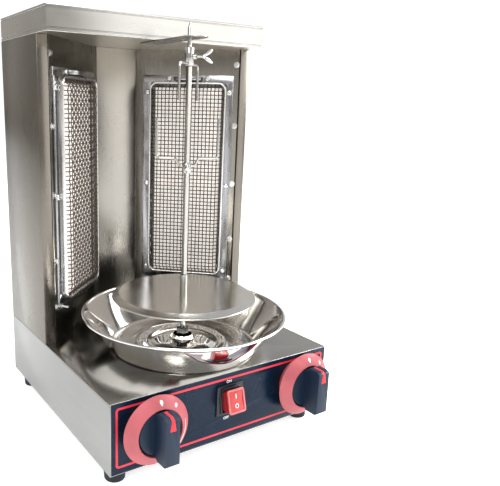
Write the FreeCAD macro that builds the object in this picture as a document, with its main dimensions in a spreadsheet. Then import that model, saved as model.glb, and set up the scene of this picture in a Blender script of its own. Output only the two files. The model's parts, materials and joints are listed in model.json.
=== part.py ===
"""Vertical rotisserie broiler: a table-top gas grill with a turning spit.

Millimetres, +Z up, front towards -Y, right hand side at +X. The origin is on the
standing surface, under the middle of the outline.
"""
import FreeCAD, Part
import Sketcher
import math
import os
import re

V = FreeCAD.Vector

# ---------------------------------------------------------------- driving dimensions

DIMENSIONS = {
    # housing
    "base_width": 300, "base_depth": 304, "base_height": 81, "base_front": -142,
    "foot_height": 19, "foot_radius": 12.5, "foot_side_inset": 17.5, "foot_end_inset": 24,
    "gauge": 1.2, "hem_width": 12, "overlay_gauge": 0.8, "overlay_margin": 1.5,
    "tower_front": 34.4, "tower_height": 364.7, "flange_width": 13, "flange_return": 9,
    "niche_back": 134.5, "niche_half": 30,
    "cap_front": 5, "cap_height": 27.6, "guide_reach": -70, "guide_half": 14, "guide_gauge": 1.2,
    # burners, measured along the wing from the niche's back corner
    "bracket_near": 11.5, "bracket_far": 138, "bracket_low": 139, "bracket_high": 431,
    "frame_near": 22, "frame_far": 129, "frame_low": 150, "frame_high": 421.5,
    "frame_proud": 10, "frame_bead": 2.4, "frame_corner": 11,
    "mesh_proud": 14, "mesh_depth": 8.5, "mesh_slope": 5, "mesh_gauge": 1.6,
    "plaque_width": 92, "plaque_height": 130.4, "plaque_depth": 11, "plaque_seam": 0.6,
    "plenum_depth": 25, "mixer_radius": 9,
    # spit drive
    "spit_y": -44.3, "bar_size": 4.8, "disc_radius": 88.2, "disc_top": 167.4, "disc_gauge": 1.5,
    "disc_bevel": 8, "disc_drop": 4, "sleeve_radius": 4.4, "sleeve_bore": 3.5, "sleeve_height": 22,
    "shaft_radius": 4, "running_gap": 0.05, "coupling_low": 104, "coupling_top": 121,
    "coupling_radius": 8.2, "socket_size": 5.2, "socket_depth": 9,
    "spit_shoulder": 454, "spit_point": 481.7, "point_radius": 2.4, "neck_radius": 3,
    # drip pan
    "pan_rim_radius": 124, "pan_rim_height": 143, "pan_foot_radius": 89, "pan_gauge": 1,
    "pan_bead": 1.7, "pan_neck_radius": 12, "pan_neck_height": 113, "pan_crown_radius": 46,
    # knobs and gas
    "knob_spread": 103, "knob_height": 66, "bezel_radius": 38.5, "bezel_bore": 25.8,
    "bezel_edge": 13.5, "bezel_proud": 22.5, "skirt_radius": 25.2, "skirt_front": 20.5,
    "knob_front": 44.5, "grip_half_width": 8, "grip_root": 24, "grip_up": 28, "grip_down": 25.5,
    "grip_overhang": 25.8, "stem_radius": 3,
    "stem_tip": 34, "stem_depth": 24, "push_travel": 3,
    "pipe_radius": 6, "pipe_height": 45, "pipe_setback": 27, "feed_x": 122,
    "tube_radius": 3, "inlet_reach": 24.5, "inlet_radius": 8, "gland_x": -112, "gland_height": 51,
    # rocker switch
    "switch_height": 68.5, "switch_half_width": 18.5, "switch_half_height": 18.3, "switch_flange": 2.3,
    "barrel_half_width": 14, "barrel_half_height": 15, "switch_proud": 4.8, "rocker_half_width": 11.5,
    "rocker_half_height": 13.5, "rocker_root": 11.6, "rocker_reach": 11.5, "rocker_pivot": 3, "rocker_tilt": 14.5,
    # forks
    "lower_fork_level": 319, "upper_fork_level": 444, "fork_wire": 1.5,
    "fork_half": 35.5, "lower_fork_turn": 327.6, "upper_fork_turn": 39.2, "prong_rise": 57, "prong_drop": 48,
    "collar_radius": 5.2, "clamp_screw_radius": 1.6, "ear_root": 17, "ear_angle": 33,
}

doc = FreeCAD.newDocument("VerticalBroiler")
sheet = doc.addObject("Spreadsheet::Sheet", "Dims")
for row, (alias, size) in enumerate(DIMENSIONS.items(), start=1):
    sheet.set(f"A{row}", alias)
    sheet.set(f"B{row}", str(size))
    sheet.setAlias(f"B{row}", alias)
doc.recompute()

# Levels and faces that several sub-parts share.
BASE_TOP = "(foot_height + base_height)"
SOFFIT = "(foot_height + base_height + tower_height)"
SIDE = "(base_width / 2)"
BACK = "(base_front + base_depth)"
WING_RUN = "(base_width / 2 - flange_width - niche_half)"
WING_ANGLE = f"atan((niche_back - tower_front) / {WING_RUN})"
WING_LENGTH = f"sqrt((niche_back - tower_front)^2 + {WING_RUN}^2)"
MIXER_S = "77"
MIXER_BACK = "14"
MIXER_X = f"(niche_half + {MIXER_S} * cos({WING_ANGLE}) + {MIXER_BACK} * sin({WING_ANGLE}))"
MIXER_Y = f"(niche_back - {MIXER_S} * sin({WING_ANGLE}) + {MIXER_BACK} * cos({WING_ANGLE}))"

SUBPARTS = []


def sized(text):
    """Point each dimension named in an expression at its cell in the sheet."""
    return re.sub(r"[a-z_]+", lambda word: "Dims." + word[0] if word[0] in DIMENSIONS else word[0], str(text))


def number(text):
    """The present value of an expression."""
    result = sheet.evalExpression(str(text))
    return float(getattr(result, "Value", result))


def point(x, y, z):
    """A point whose coordinates are expressions."""
    return V(number(x), number(y), number(z))


# The turn that lays a primitive's own +Z along a row axis.
LIE = {"Z": ((0, 0, 1), 0), "X": ((0, 1, 0), 90), "Y": ((-1, 0, 0), 90), "-Y": ((1, 0, 0), 90)}


def place(item, foot, axis=(0, 0, 1), angle=0):
    """Put an item at a bound position, turned about an axis."""
    item.Placement = FreeCAD.Placement(point(*foot), FreeCAD.Rotation(V(*axis), number(angle)))
    for letter, text in zip("xyz", foot):
        item.setExpression("Placement.Base." + letter, sized(text))
    return item


def primitive(kind, name, foot, along, sizes):
    """A Part primitive whose properties are bound to the sheet."""
    item = doc.addObject("Part::" + kind, name)
    for prop, text in sizes.items():
        item.setExpression(prop, sized(text))
    return place(item, foot, *LIE[along])


def box(name, corner, size):
    return primitive("Box", name, corner, "Z", dict(zip(("Length", "Width", "Height"), size)))


def rod(name, foot, radius, length, along="Z"):
    return primitive("Cylinder", name, foot, along, {"Radius": radius, "Height": length})


def cone(name, foot, near, far, length, along="Z"):
    return primitive("Cone", name, foot, along, {"Radius1": near, "Radius2": far, "Height": length})


def hexagon(name, foot, radius, length, along="Z"):
    item = primitive("Prism", name, foot, along, {"Circumradius": radius, "Height": length})
    item.Polygon = 6
    return item


def joined(kind, prop, name, items):
    item = doc.addObject(kind, name)
    setattr(item, prop, list(items))
    return item


def fuse(name, *items):
    return joined("Part::MultiFuse", "Shapes", name, items)


def group(name, *items):
    """Separate solids that share one node."""
    return joined("Part::Compound", "Links", name, items)


def cut(name, base, *tools):
    item = doc.addObject("Part::Cut", name)
    item.Base = base
    item.Tool = tools[0] if len(tools) == 1 else fuse(name + "_tools", *tools)
    return item


def mirrored(name, source):
    """The left-hand twin of a right-hand piece."""
    item = doc.addObject("Part::Mirroring", name)
    item.Source = source
    item.Normal = (1, 0, 0)
    return item


def sketched(body, plane, outline):
    """A closed outline on one of the body's own planes, each corner bound to the sheet."""
    sketch = body.newObject("Sketcher::SketchObject", body.Name + "_outline")
    base = next(item for item in body.Origin.OriginFeatures if item.Role == plane)
    sketch.AttachmentSupport = [(base, "")]
    sketch.MapMode = "FlatFace"
    corners = [V(number(across), number(up), 0) for across, up in outline]
    count = len(corners)
    for index in range(count):
        sketch.addGeometry(Part.LineSegment(corners[index], corners[(index + 1) % count]), False)
    for index in range(count):
        sketch.addConstraint(Sketcher.Constraint("Coincident", index, 2, (index + 1) % count, 1))
    for index, texts in enumerate(outline):
        for kind, text, start in zip(("DistanceX", "DistanceY"), texts, corners[index]):
            slot = sketch.addConstraint(Sketcher.Constraint(kind, -1, 1, index, 1, start))
            sketch.setExpression(f"Constraints[{slot}]", sized(text))
    return sketch


def turned(name, outline):
    """A body revolved about its own Z axis from (radius, height) corners."""
    body = doc.addObject("PartDesign::Body", name)
    sketch = sketched(body, "XZ_Plane", outline)
    feature = body.newObject("PartDesign::Revolution", name + "_turn")
    feature.Profile = sketch
    feature.ReferenceAxis = (sketch, ["V_Axis"])
    feature.Angle = 360
    return body


def padded(name, plane, outline, length, side="One side"):
    """A body made by padding an outline on XY or YZ."""
    body = doc.addObject("PartDesign::Body", name)
    feature = body.newObject("PartDesign::Pad", name + "_pad")
    feature.Profile = sketched(body, plane, outline)
    feature.setExpression("Length", sized(length))
    feature.SideType = side
    return body


def keep(item, label=None):
    """Register a finished sub-part under its node name."""
    item.Label = label or item.Name
    SUBPARTS.append(item)
    return item


def smooth_path(corners, bend):
    """Straight runs joined by tangent arcs of one radius."""
    edges = []
    start = corners[0]
    for before, corner, after in zip(corners, corners[1:], corners[2:]):
        back = (before - corner).normalize()
        onward = (after - corner).normalize()
        half = back.getAngle(onward) / 2
        reach = bend / math.tan(half)
        enter = corner + back * reach
        leave = corner + onward * reach
        middle = corner + (back + onward).normalize() * (bend / math.sin(half) - bend)
        edges.append(Part.LineSegment(start, enter).toShape())
        edges.append(Part.Arc(enter, middle, leave).toShape())
        start = leave
    edges.append(Part.LineSegment(start, corners[-1]).toShape())
    return Part.Wire(edges)


def swept(corners, radius, bend):
    """A round rod bent along a path."""
    path = smooth_path(corners, bend)
    section = Part.Wire([Part.makeCircle(radius, corners[0], corners[1] - corners[0])])
    return path.makePipeShell([section], True, True)


def shaped(name, shape):
    """A sub-part whose solid is made directly."""
    item = doc.addObject("Part::Feature", name)
    item.Shape = shape
    return item


# ---------------------------------------------------------------- base

def front_hole(name, side, radius):
    """A hole through the front wall and overlay, on a knob's axis."""
    foot = (f"{side} * knob_spread", "base_front - 3 * gauge", "knob_height")
    return rod(name, foot, radius, "6 * gauge", "Y")


def switch_window(name):
    corner = ("-barrel_half_width", "base_front - 3 * gauge", "switch_height - barrel_half_height")
    return box(name, corner, ("2 * barrel_half_width", "6 * gauge", "2 * barrel_half_height"))


def make_base_shell():
    """Folded wrap of four walls with an inward hem round the open underside."""
    block = box("shell_block", (f"-{SIDE}", "base_front", "foot_height"),
                ("base_width", "base_depth", "base_height - gauge"))
    room = box("shell_room", (f"-{SIDE} + gauge", "base_front + gauge", "foot_height + gauge"),
               ("base_width - 2 * gauge", "base_depth - 2 * gauge", "base_height"))
    mouth = box("shell_mouth", (f"-{SIDE} + hem_width", "base_front + hem_width", "foot_height - gauge"),
                ("base_width - 2 * hem_width", "base_depth - 2 * hem_width", "3 * gauge"))
    openings = [front_hole(f"shell_stem_hole_{side}", side, "stem_radius + 3") for side in (-1, 1)]
    openings.append(switch_window("shell_switch_window"))
    openings.append(rod("shell_inlet_hole", ("feed_x", f"{BACK} - 3 * gauge", "pipe_height"),
                        "pipe_radius", "6 * gauge", "Y"))
    openings.append(rod("shell_gland_hole", ("gland_x", f"{BACK} - 3 * gauge", "gland_height"),
                        "6", "6 * gauge", "Y"))
    for index in range(7):
        corner = (f"-60 + {index} * 18", f"{BACK} - 3 * gauge", "foot_height + 25")
        openings.append(box(f"shell_vent_{index}", corner, ("5", "6 * gauge", "36")))
    keep(cut("base_shell", block, room, mouth, *openings))


def make_base_top():
    """Flat worktop sheet with holes for the spit drive and the two mixing tubes."""
    deck = box("top_deck", (f"-{SIDE}", "base_front", f"{BASE_TOP} - gauge"),
               ("base_width", "base_depth", "gauge"))
    holes = [rod("top_drive_hole", ("0", "spit_y", f"{BASE_TOP} - 3 * gauge"), "7", "6 * gauge")]
    for side in (-1, 1):
        foot = (f"{side} * {MIXER_X}", MIXER_Y, f"{BASE_TOP} - 3 * gauge")
        holes.append(rod(f"top_mixer_hole_{side}", foot, "mixer_radius + 2", "6 * gauge"))
    keep(cut("base_top", deck, *holes))


def foot_spots():
    """The four feet's centres."""
    for side in (-1, 1):
        yield f"{side} * ({SIDE} - foot_side_inset)", "base_front + foot_end_inset"
        yield f"{side} * ({SIDE} - foot_side_inset)", f"{BACK} - foot_end_inset"


def make_bottom():
    """Bottom plate resting on the hem, with the feet screwed on under it."""
    plate = box("bottom_sheet", (f"-{SIDE} + gauge", "base_front + gauge", "foot_height + gauge"),
                ("base_width - 2 * gauge", "base_depth - 2 * gauge", "gauge"))
    holes, feet, screws = [], [], []
    for index, (x, y) in enumerate(foot_spots()):
        holes.append(rod(f"bottom_hole_{index}", (x, y, "foot_height"), "2", "3 * gauge"))
        pad = cone(f"foot_pad_{index}", (x, y, "0"), "foot_radius - 1.2", "foot_radius", "foot_height")
        recess = rod(f"foot_recess_{index}", (x, y, "-1"), "5", "4")
        bore = rod(f"foot_bore_{index}", (x, y, "-1"), "2", "foot_height + 2")
        feet.append(cut(f"foot_{index}", pad, recess, bore))
        shank = rod(f"foot_shank_{index}", (x, y, "3"), "2", "foot_height + 4")
        head = rod(f"foot_head_{index}", (x, y, "1"), "4", "2")
        screws.append(fuse(f"foot_screw_{index}", shank, head))
    for row in range(5):
        for side in (-1, 1):
            corner = (f"{side} * 70 - 25", f"base_front + 190 + {row} * 14", "foot_height")
            holes.append(box(f"bottom_vent_{side}_{row}", corner, ("50", "5", "3 * gauge")))
    keep(cut("bottom_plate", plate, *holes))
    keep(group("rubber_feet", *feet))
    keep(group("foot_screws", *screws))


def make_control_panel():
    """Printed overlay on the front wall."""
    sheet_cut = [front_hole(f"overlay_hole_{side}", side, "stem_radius + 3") for side in (-1, 1)]
    corner = (f"-{SIDE} + overlay_margin", "base_front - overlay_gauge", "foot_height + overlay_margin")
    overlay = box("overlay_sheet", corner, ("base_width - 2 * overlay_margin", "overlay_gauge",
                                            "base_height - 2 * overlay_margin + 1"))
    keep(cut("control_panel", overlay, switch_window("overlay_switch_window"), *sheet_cut))


# ---------------------------------------------------------------- knobs, valves and gas line

def make_knob(side, label):
    """Bezel, knob, pointer, stem and spring cup on one valve's axis.

    These pieces are drawn with their own Z towards the user and then turned to face front.
    """
    axis_point = (f"{side} * knob_spread", "base_front", "knob_height")
    bezel = turned(f"{label}_knob_bezel", [
        ("bezel_radius", "bezel_edge - 2"), ("bezel_radius", "bezel_edge"), ("bezel_bore", "bezel_proud"),
        ("bezel_bore", "overlay_gauge"), ("bezel_bore + 2", "overlay_gauge"),
        ("bezel_bore + 2", "bezel_proud - 3.5")])
    keep(place(bezel, axis_point, *LIE["-Y"]))

    skirt = turned(f"{label}_skirt", [
        ("stem_radius", "9"), ("skirt_radius", "9"), ("skirt_radius", "skirt_front - 1.5"),
        ("skirt_radius - 1.5", "skirt_front"), ("stem_radius", "skirt_front")])
    grip = padded(f"{label}_grip", "YZ_Plane", [
        ("-grip_root", "skirt_front - 4"), ("grip_root", "skirt_front - 4"), ("grip_root", "grip_overhang"),
        ("grip_up", "grip_overhang + 2.7"), ("grip_up", "knob_front - 4"), ("grip_up - 2.5", "knob_front"),
        ("-grip_down + 2", "knob_front"), ("-grip_down", "knob_front - 3"),
        ("-grip_down", "grip_overhang + 1.7"), ("-grip_root", "grip_overhang")],
        "2 * grip_half_width", "Symmetric")
    bore = rod(f"{label}_stem_bore", ("0", "0", "5"), "stem_radius", "stem_tip - 5")
    slot = pointer_outline(f"{label}_pointer_slot")
    knob = cut(f"{label}_knob", fuse(f"{label}_knob_blank", skirt, grip), bore, slot)
    keep(place(knob, axis_point, *LIE["-Y"]))
    keep(place(pointer_outline(f"{label}_knob_pointer"), axis_point, *LIE["-Y"]))

    stem = rod(f"{label}_valve_stem", axis_point, "stem_radius", "stem_tip + stem_depth", "Y")
    keep(place(stem, (axis_point[0], "base_front - stem_tip", "knob_height"), *LIE["Y"]))
    cup_foot = (axis_point[0], "base_front + gauge + 0.5", "knob_height")
    cup = rod(f"{label}_cup_blank", cup_foot, "6.5", "3", "Y")
    cup_bore = rod(f"{label}_cup_bore", (cup_foot[0], "base_front", "knob_height"),
                   "stem_radius + running_gap", "12", "Y")
    keep(cut(f"{label}_spring_cup", cup, cup_bore))


def pointer_outline(name):
    """The strip let into the top of a grip, ending in a wedge on its front face."""
    strip = padded(name + "_strip", "YZ_Plane", [
        ("grip_up - 1.5", "grip_overhang + 2.7"), ("grip_up", "grip_overhang + 2.7"),
        ("grip_up", "knob_front - 4"), ("grip_up - 2.5", "knob_front"), ("grip_up - 6", "knob_front"),
        ("grip_up - 6", "knob_front - 1.2"), ("grip_up - 3.6", "knob_front - 1.2"),
        ("grip_up - 1.5", "knob_front - 4.5")], "3.4", "Symmetric")
    wedge = padded(name + "_wedge", "XY_Plane", [
        ("-1.7", "grip_up - 2.5"), ("-3.6", "grip_up - 14"), ("3.6", "grip_up - 14"),
        ("1.7", "grip_up - 2.5")], "1.2")
    place(wedge, ("0", "0", "knob_front - 1.2"))
    return fuse(name, strip, wedge)


def make_gas_line():
    """Manifold, valves, supply tubes, injectors and the rear inlet."""
    setback = "(base_front + pipe_setback)"
    rail = swept([point("-knob_spread - 14", setback, "pipe_height"),
                  point("feed_x", setback, "pipe_height"),
                  point("feed_x", f"{BACK} + 3", "pipe_height")], number("pipe_radius"), 9)
    keep(shaped("gas_manifold", rail))

    valves = []
    for side in (-1, 1):
        x = f"{side} * knob_spread"
        block = box(f"valve_block_{side}", (f"{x} - 10", "base_front + 10", "pipe_height + 1"),
                    ("20", "30", "29"))
        spout = rod(f"valve_spout_{side}", (x, "base_front + 40", "knob_height"), "4.5", "8", "Y")
        bore = rod(f"valve_bore_{side}", (x, "base_front + 5", "knob_height"),
                   "stem_radius + running_gap", "stem_depth - 5 + push_travel + 2", "Y")
        saddle = rod(f"valve_saddle_{side}", (f"{x} - 20", setback, "pipe_height"), "pipe_radius", "40", "X")
        valves.append(cut(f"valve_{side}", fuse(f"valve_blank_{side}", block, spout), bore, saddle))
    keep(group("gas_valves", *valves))

    tubes, jets = [], []
    for side in (-1, 1):
        x = f"{side} * knob_spread"
        jet_x = f"{side} * {MIXER_X}"
        tubes.append(swept([point(x, "base_front + 48", "knob_height"),
                            point(x, f"{MIXER_Y} - 50", "knob_height"),
                            point(jet_x, MIXER_Y, "knob_height - 12"),
                            point(jet_x, MIXER_Y, "knob_height + 3")], number("tube_radius"), 6))
        body = hexagon(f"jet_body_{side}", (jet_x, MIXER_Y, "knob_height + 3"), "6", "8")
        nose = cone(f"jet_nose_{side}", (jet_x, MIXER_Y, "knob_height + 11"), "4", "2", "6")
        jets.append(fuse(f"jet_{side}", body, nose))
    keep(shaped("gas_tubes", Part.makeCompound(tubes)))
    keep(group("injectors", *jets))

    nipple = rod("inlet_nipple", ("feed_x", BACK, "pipe_height"), "inlet_radius", "inlet_reach", "Y")
    wrench = hexagon("inlet_hexagon", ("feed_x", BACK, "pipe_height"), "12", "6", "Y")
    socket = rod("inlet_socket", ("feed_x", f"{BACK} - 1", "pipe_height"), "pipe_radius", "4", "Y")
    throat = rod("inlet_throat", ("feed_x", f"{BACK} - 1", "pipe_height"), "4", "inlet_reach + 2", "Y")
    keep(cut("gas_inlet_fitting", fuse("inlet_blank", nipple, wrench), socket, throat))


def make_cord_gland():
    """Strain-relief gland in the back wall."""
    collar = hexagon("gland_collar", ("gland_x", BACK, "gland_height"), "11", "5", "Y")
    nose = cone("gland_nose", ("gland_x", f"{BACK} + 5", "gland_height"), "8", "6", "12", "Y")
    spigot = rod("gland_spigot", ("gland_x", f"{BACK} - 10", "gland_height"), "6", "10", "Y")
    throat = rod("gland_throat", ("gland_x", f"{BACK} - 12", "gland_height"), "3.6", "32", "Y")
    keep(cut("cord_gland", fuse("gland_blank", collar, nose, spigot), throat))


# ---------------------------------------------------------------- rocker switch

def make_switch():
    """Sealed rocker switch: flanged black housing and a red button that tips about X."""
    flange = box("switch_flange",
                 ("-switch_half_width", "base_front - switch_flange", "switch_height - switch_half_height"),
                 ("2 * switch_half_width", "switch_flange - overlay_gauge", "2 * switch_half_height"))
    barrel = box("switch_barrel",
                 ("-barrel_half_width", "base_front - switch_proud", "switch_height - barrel_half_height"),
                 ("2 * barrel_half_width", "switch_proud + 22", "2 * barrel_half_height"))
    recess = box("switch_recess",
                 ("-rocker_half_width - 0.3", "base_front - switch_proud - 1", "switch_height - rocker_root - 1.9"),
                 ("2 * rocker_half_width + 0.6", "switch_proud + 3.5", "2 * rocker_root + 3.8"))
    keep(cut("switch_housing", fuse("switch_blank", flange, barrel), recess))
    rocker = padded("rocker_blank", "YZ_Plane", [
        ("-rocker_reach", "rocker_half_height"), ("-rocker_reach + 0.9", "0"),
        ("-rocker_reach", "-rocker_half_height"), ("-rocker_pivot / 2", "-rocker_root"), ("2", "-9.5"),
        ("2", "9.5"), ("-rocker_pivot / 2", "rocker_root")], "2 * rocker_half_width", "Symmetric")
    tipped = group("switch_rocker", rocker)
    keep(place(tipped, ("0", "base_front - rocker_pivot", "switch_height"), (1, 0, 0), "-rocker_tilt"))


# ---------------------------------------------------------------- tower

def make_tower():
    """Two folded side panels and a slotted back, standing on the worktop."""
    inner = f"({SIDE} - gauge)"
    right = padded("tower_right_side", "XY_Plane", [
        (SIDE, "tower_front"), (SIDE, BACK), (inner, BACK), (inner, "tower_front + gauge"),
        (f"{SIDE} - flange_width + gauge", "tower_front + gauge"),
        (f"{SIDE} - flange_width + gauge", "tower_front + flange_return"),
        (f"{SIDE} - flange_width", "tower_front + flange_return"), (f"{SIDE} - flange_width", "tower_front")],
        "tower_height")
    keep(place(right, ("0", "0", BASE_TOP)))
    keep(mirrored("tower_left_side", right))

    panel = box("back_panel", (f"-{inner}", f"{BACK} - gauge", BASE_TOP),
                (f"2 * {inner}", "gauge", "tower_height"))
    slots = []
    for row in range(8):
        for side in (-1, 1):
            slots.append(box(f"back_slot_{side}_{row}", (f"{side} * 65 - 30", f"{BACK} - 3 * gauge",
                             f"{BASE_TOP} + 60 + {row} * 14"), ("60", "6 * gauge", "5")))
    keep(cut("tower_back", panel, *slots))


def on_wing(item):
    """Carry a piece drawn with X along the wing and -Y into the niche to its place on the right."""
    place(item, ("niche_half", "niche_back", "0"), (0, 0, -1), WING_ANGLE)
    item.setExpression("Placement.Rotation.Angle", sized(WING_ANGLE))
    return item


def make_liner():
    """Niche lining: a centre strip and two wings with burner windows."""
    centre = padded("niche_back_panel", "XY_Plane", [
        ("-niche_half", "niche_back"), ("niche_half", "niche_back"), ("niche_half + 3", "niche_back + 8"),
        ("niche_half + 1.8", "niche_back + 8"), ("niche_half - 0.8", "niche_back + 1"),
        ("-niche_half + 0.8", "niche_back + 1"), ("-niche_half - 1.8", "niche_back + 8"),
        ("-niche_half - 3", "niche_back + 8")], "tower_height")
    keep(place(centre, ("0", "0", BASE_TOP)))
    blank = box("wing_sheet", ("0.6", "0", BASE_TOP), (f"{WING_LENGTH} - 2.4", "1", "tower_height"))
    window = box("wing_window", ("frame_near + 1", "-2", "frame_low - 4"),
                 ("frame_far - frame_near - 2", "6", "frame_high - frame_low + 8"))
    port = box("wing_port", ("frame_far - 1", "-2", "frame_low - 12"), ("9", "6", "9"))
    right = keep(on_wing(cut("right_wing_panel", blank, window, port)))
    keep(mirrored("left_wing_panel", right))
    screws = []
    for level in (144.6, 203, 283.5, 364, 445):
        shank = rod(f"edge_shank_{int(level)}", ("141.3", "-0.8", level), "1.6", "4", "Y")
        head = hexagon(f"edge_head_{int(level)}", ("141.3", "0", level), "3.1", "2.8", "-Y")
        screws.append(fuse(f"edge_screw_{int(level)}", shank, head))
    near = on_wing(group("edge_screws_right", *screws))
    keep(group("edge_screws", near, mirrored("edge_screws_left", near)))


def make_cap():
    """Lid box, its soffit and the plate that steadies the top of the spit."""
    lid = box("lid_block", (f"-{SIDE}", "cap_front", SOFFIT),
              ("base_width", f"{BACK} - cap_front", "cap_height"))
    room = box("lid_room", (f"-{SIDE} + gauge", "cap_front + gauge", f"{SOFFIT} - gauge"),
               ("base_width - 2 * gauge", f"{BACK} - cap_front - 2 * gauge", "cap_height"))
    keep(cut("top_cover", lid, room))
    keep(box("ceiling_plate", (f"-{SIDE} + gauge", "cap_front + gauge", SOFFIT),
             ("base_width - 2 * gauge", f"{BACK} - cap_front - 2 * gauge", "gauge")))
    plate = padded("guide_blank", "XY_Plane", [
        *[(f"guide_half * {round(math.cos(math.radians(turn)), 4)}",
           f"guide_reach + guide_half * {round(1 + math.sin(math.radians(turn)), 4)}")
          for turn in range(180, 361, 20)],
        ("guide_half", "cap_front + 40"), ("-guide_half", "cap_front + 40")], "guide_gauge")
    place(plate, ("0", "0", f"{SOFFIT} - guide_gauge"))
    eye = rod("guide_eye", ("0", "spit_y", f"{SOFFIT} - 5"), "point_radius + 0.6", "10")
    keep(cut("spit_guide_plate", plate, eye))


# ---------------------------------------------------------------- burners

def rounded_slab(near, far, low, high, corner, back, front):
    """A slab on the wing with its four corners rounded, from depth back to depth front."""
    block = Part.makeBox(far - near, front - back, high - low, V(near, -front, low))
    upright = [edge for edge in block.Edges
               if abs(edge.Vertexes[0].Y - edge.Vertexes[-1].Y) > (front - back) / 2]
    return block.makeFillet(corner, upright)


def make_burner():
    """The right-hand burner's pieces, from the plenum out to the mesh, and their left-hand twins."""
    near, far, low, high = (number(name) for name in ("frame_near", "frame_far", "frame_low", "frame_high"))
    bead, proud, corner = (number(name) for name in ("frame_bead", "frame_proud", "frame_corner"))

    plate = box("bracket_sheet", ("bracket_near", "-gauge", "bracket_low"),
                ("bracket_far - bracket_near", "gauge", "bracket_high - bracket_low"))
    rails = [box(f"bracket_fold_{index}", (left, "-gauge - 1.8", "bracket_low + 4"),
                 ("gauge", "2", "bracket_high - bracket_low - 14"))
             for index, left in enumerate(("bracket_near", "bracket_far - gauge"))]
    window = box("bracket_window", ("frame_near + 1", "-10", "frame_low + 1"),
                 ("frame_far - frame_near - 2", "20", "frame_high - frame_low - 2"))
    bracket = cut("right_burner_bracket", fuse("bracket_blank", plate, *rails), window)

    rim = rounded_slab(near, far, low, high, corner, number("gauge"), proud)
    hollow = rounded_slab(near + bead, far - bead, low + bead, high - bead, corner - bead, -1, proud + 1)
    frame = shaped("right_mesh_frame", rim.cut(hollow))

    mesh = doc.addObject("Part::Common", "right_wire_mesh")
    mesh.Base = cut("mesh_tray", mesh_pillow("mesh_outer", "0"), mesh_pillow("mesh_inner", "mesh_gauge"))
    outline = rounded_slab(near + bead, far - bead, low + bead, high - bead, corner - bead,
                           number("gauge"), number("mesh_proud") + 1)
    mesh.Tool = shaped("mesh_outline", outline)

    middle = "(frame_near + frame_far) / 2"
    seam = "(frame_low + frame_high) / 2 - 2.4"
    plaques = group("right_plaques", *[
        box(f"plaque_{name}", (f"{middle} - plaque_width / 2", "-gauge", bottom),
            ("plaque_width", "plaque_depth", "plaque_height"))
        for name, bottom in (("lower", f"{seam} - plaque_seam / 2 - plaque_height"),
                             ("upper", f"{seam} + plaque_seam / 2"))])

    shell = box("plenum_shell", ("frame_near + 2", "1.2", "frame_low - 3"),
                ("frame_far - frame_near - 4", "plenum_depth", "frame_high - frame_low + 6"))
    ledge = box("plenum_ledge", (f"{middle} - plaque_width / 2 - 0.5", "0", "frame_low - 1"),
                ("plaque_width + 1", "plaque_depth - 1", "frame_high - frame_low + 1"))
    chamber = box("plenum_chamber", ("frame_near + 8", "0", "frame_low + 4"),
                  ("frame_far - frame_near - 16", "plenum_depth - 0.3", "frame_high - frame_low - 8"))
    mixer = rod("mixer_tube", (MIXER_S, MIXER_BACK, "knob_height + 21"), "mixer_radius",
                "frame_low - knob_height - 20")
    throat = rod("mixer_throat", (MIXER_S, MIXER_BACK, "knob_height + 20"), "mixer_radius - 1.2",
                 "frame_low - knob_height - 8")
    plenum = cut("right_burner_box", fuse("plenum_blank", shell, mixer), ledge, chamber, throat)

    for item in (bracket, frame, mesh, plaques, plenum):
        keep(on_wing(item))
        keep(mirrored(item.Name.replace("right", "left"), item))
    make_burner_fittings()


def mesh_pillow(name, inset):
    """The mesh's outer form: a tray turned over, with sloping sides."""
    near, low = f"frame_near + frame_bead + {inset} + 0.2", f"frame_low + frame_bead + {inset} + 0.2"
    far, high = f"frame_far - frame_bead - {inset} - 0.2", f"frame_high - frame_bead - {inset} - 0.2"
    item = doc.addObject("Part::Wedge", name)
    sizes = {"Xmin": near, "Xmax": far, "Zmin": low, "Zmax": high,
             "Ymin": "0", "Ymax": f"mesh_depth - {inset}",
             "X2min": f"{near} + mesh_slope", "X2max": f"{far} - mesh_slope",
             "Z2min": f"{low} + mesh_slope", "Z2max": f"{high} - mesh_slope"}
    for prop, text in sizes.items():
        item.setExpression(prop, sized(text))
    # A wedge narrows towards its own +Y, so it is turned over to narrow towards the niche.
    return place(item, ("frame_near + frame_far", "mesh_depth - mesh_proud", "0"), (0, 0, 1), 180)


def make_burner_fittings():
    """Screws, top clips and flame sensors of both burners."""
    screws = []
    for index, (along, level) in enumerate([(s, z) for s in (17.5, 132.6) for z in (155, 280, 408)]
                                           + [(48.5, 426.5), (101.7, 426.5)]):
        shank = rod(f"burner_shank_{index}", (along, "-gauge", level), "1.5", "7", "Y")
        head = cone(f"burner_head_{index}", (along, "-gauge", level), "3.3", "2.2", "2.2", "-Y")
        screws.append(fuse(f"burner_screw_{index}", shank, head))
    clip = padded("clip_strip", "XY_Plane", [
        ("54.5", "-gauge"), ("57", "-7"), ("63", "-10.4"), ("87", "-10.4"), ("93", "-7"), ("95.5", "-gauge"),
        ("94.2", "-gauge"), ("92", "-6.2"), ("86.6", "-9.3"), ("63.4", "-9.3"), ("58", "-6.2"),
        ("55.8", "-gauge")], "5")
    place(clip, ("0", "0", "bracket_high - 7"))
    probe = rod("sensor_probe", ("frame_far + 2.5", "-12", "frame_low - 7"), "1.6", "22", "Y")
    nut = hexagon("sensor_nut", ("frame_far + 2.5", "-gauge", "frame_low - 7"), "4.4", "3.4", "-Y")
    sensor = fuse("sensor", probe, nut)
    for name, item in (("burner_screws", group("burner_screws_right", *screws)),
                       ("top_clips", clip_holder(clip)), ("flame_sensors", sensor)):
        near = on_wing(item)
        keep(group(name, near, mirrored(name + "_left", near)))


def clip_holder(clip):
    """A wrapper that carries the clip's own height while it is turned onto the wing."""
    return group("top_clips_right", clip)


# ---------------------------------------------------------------- spit drive

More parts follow.
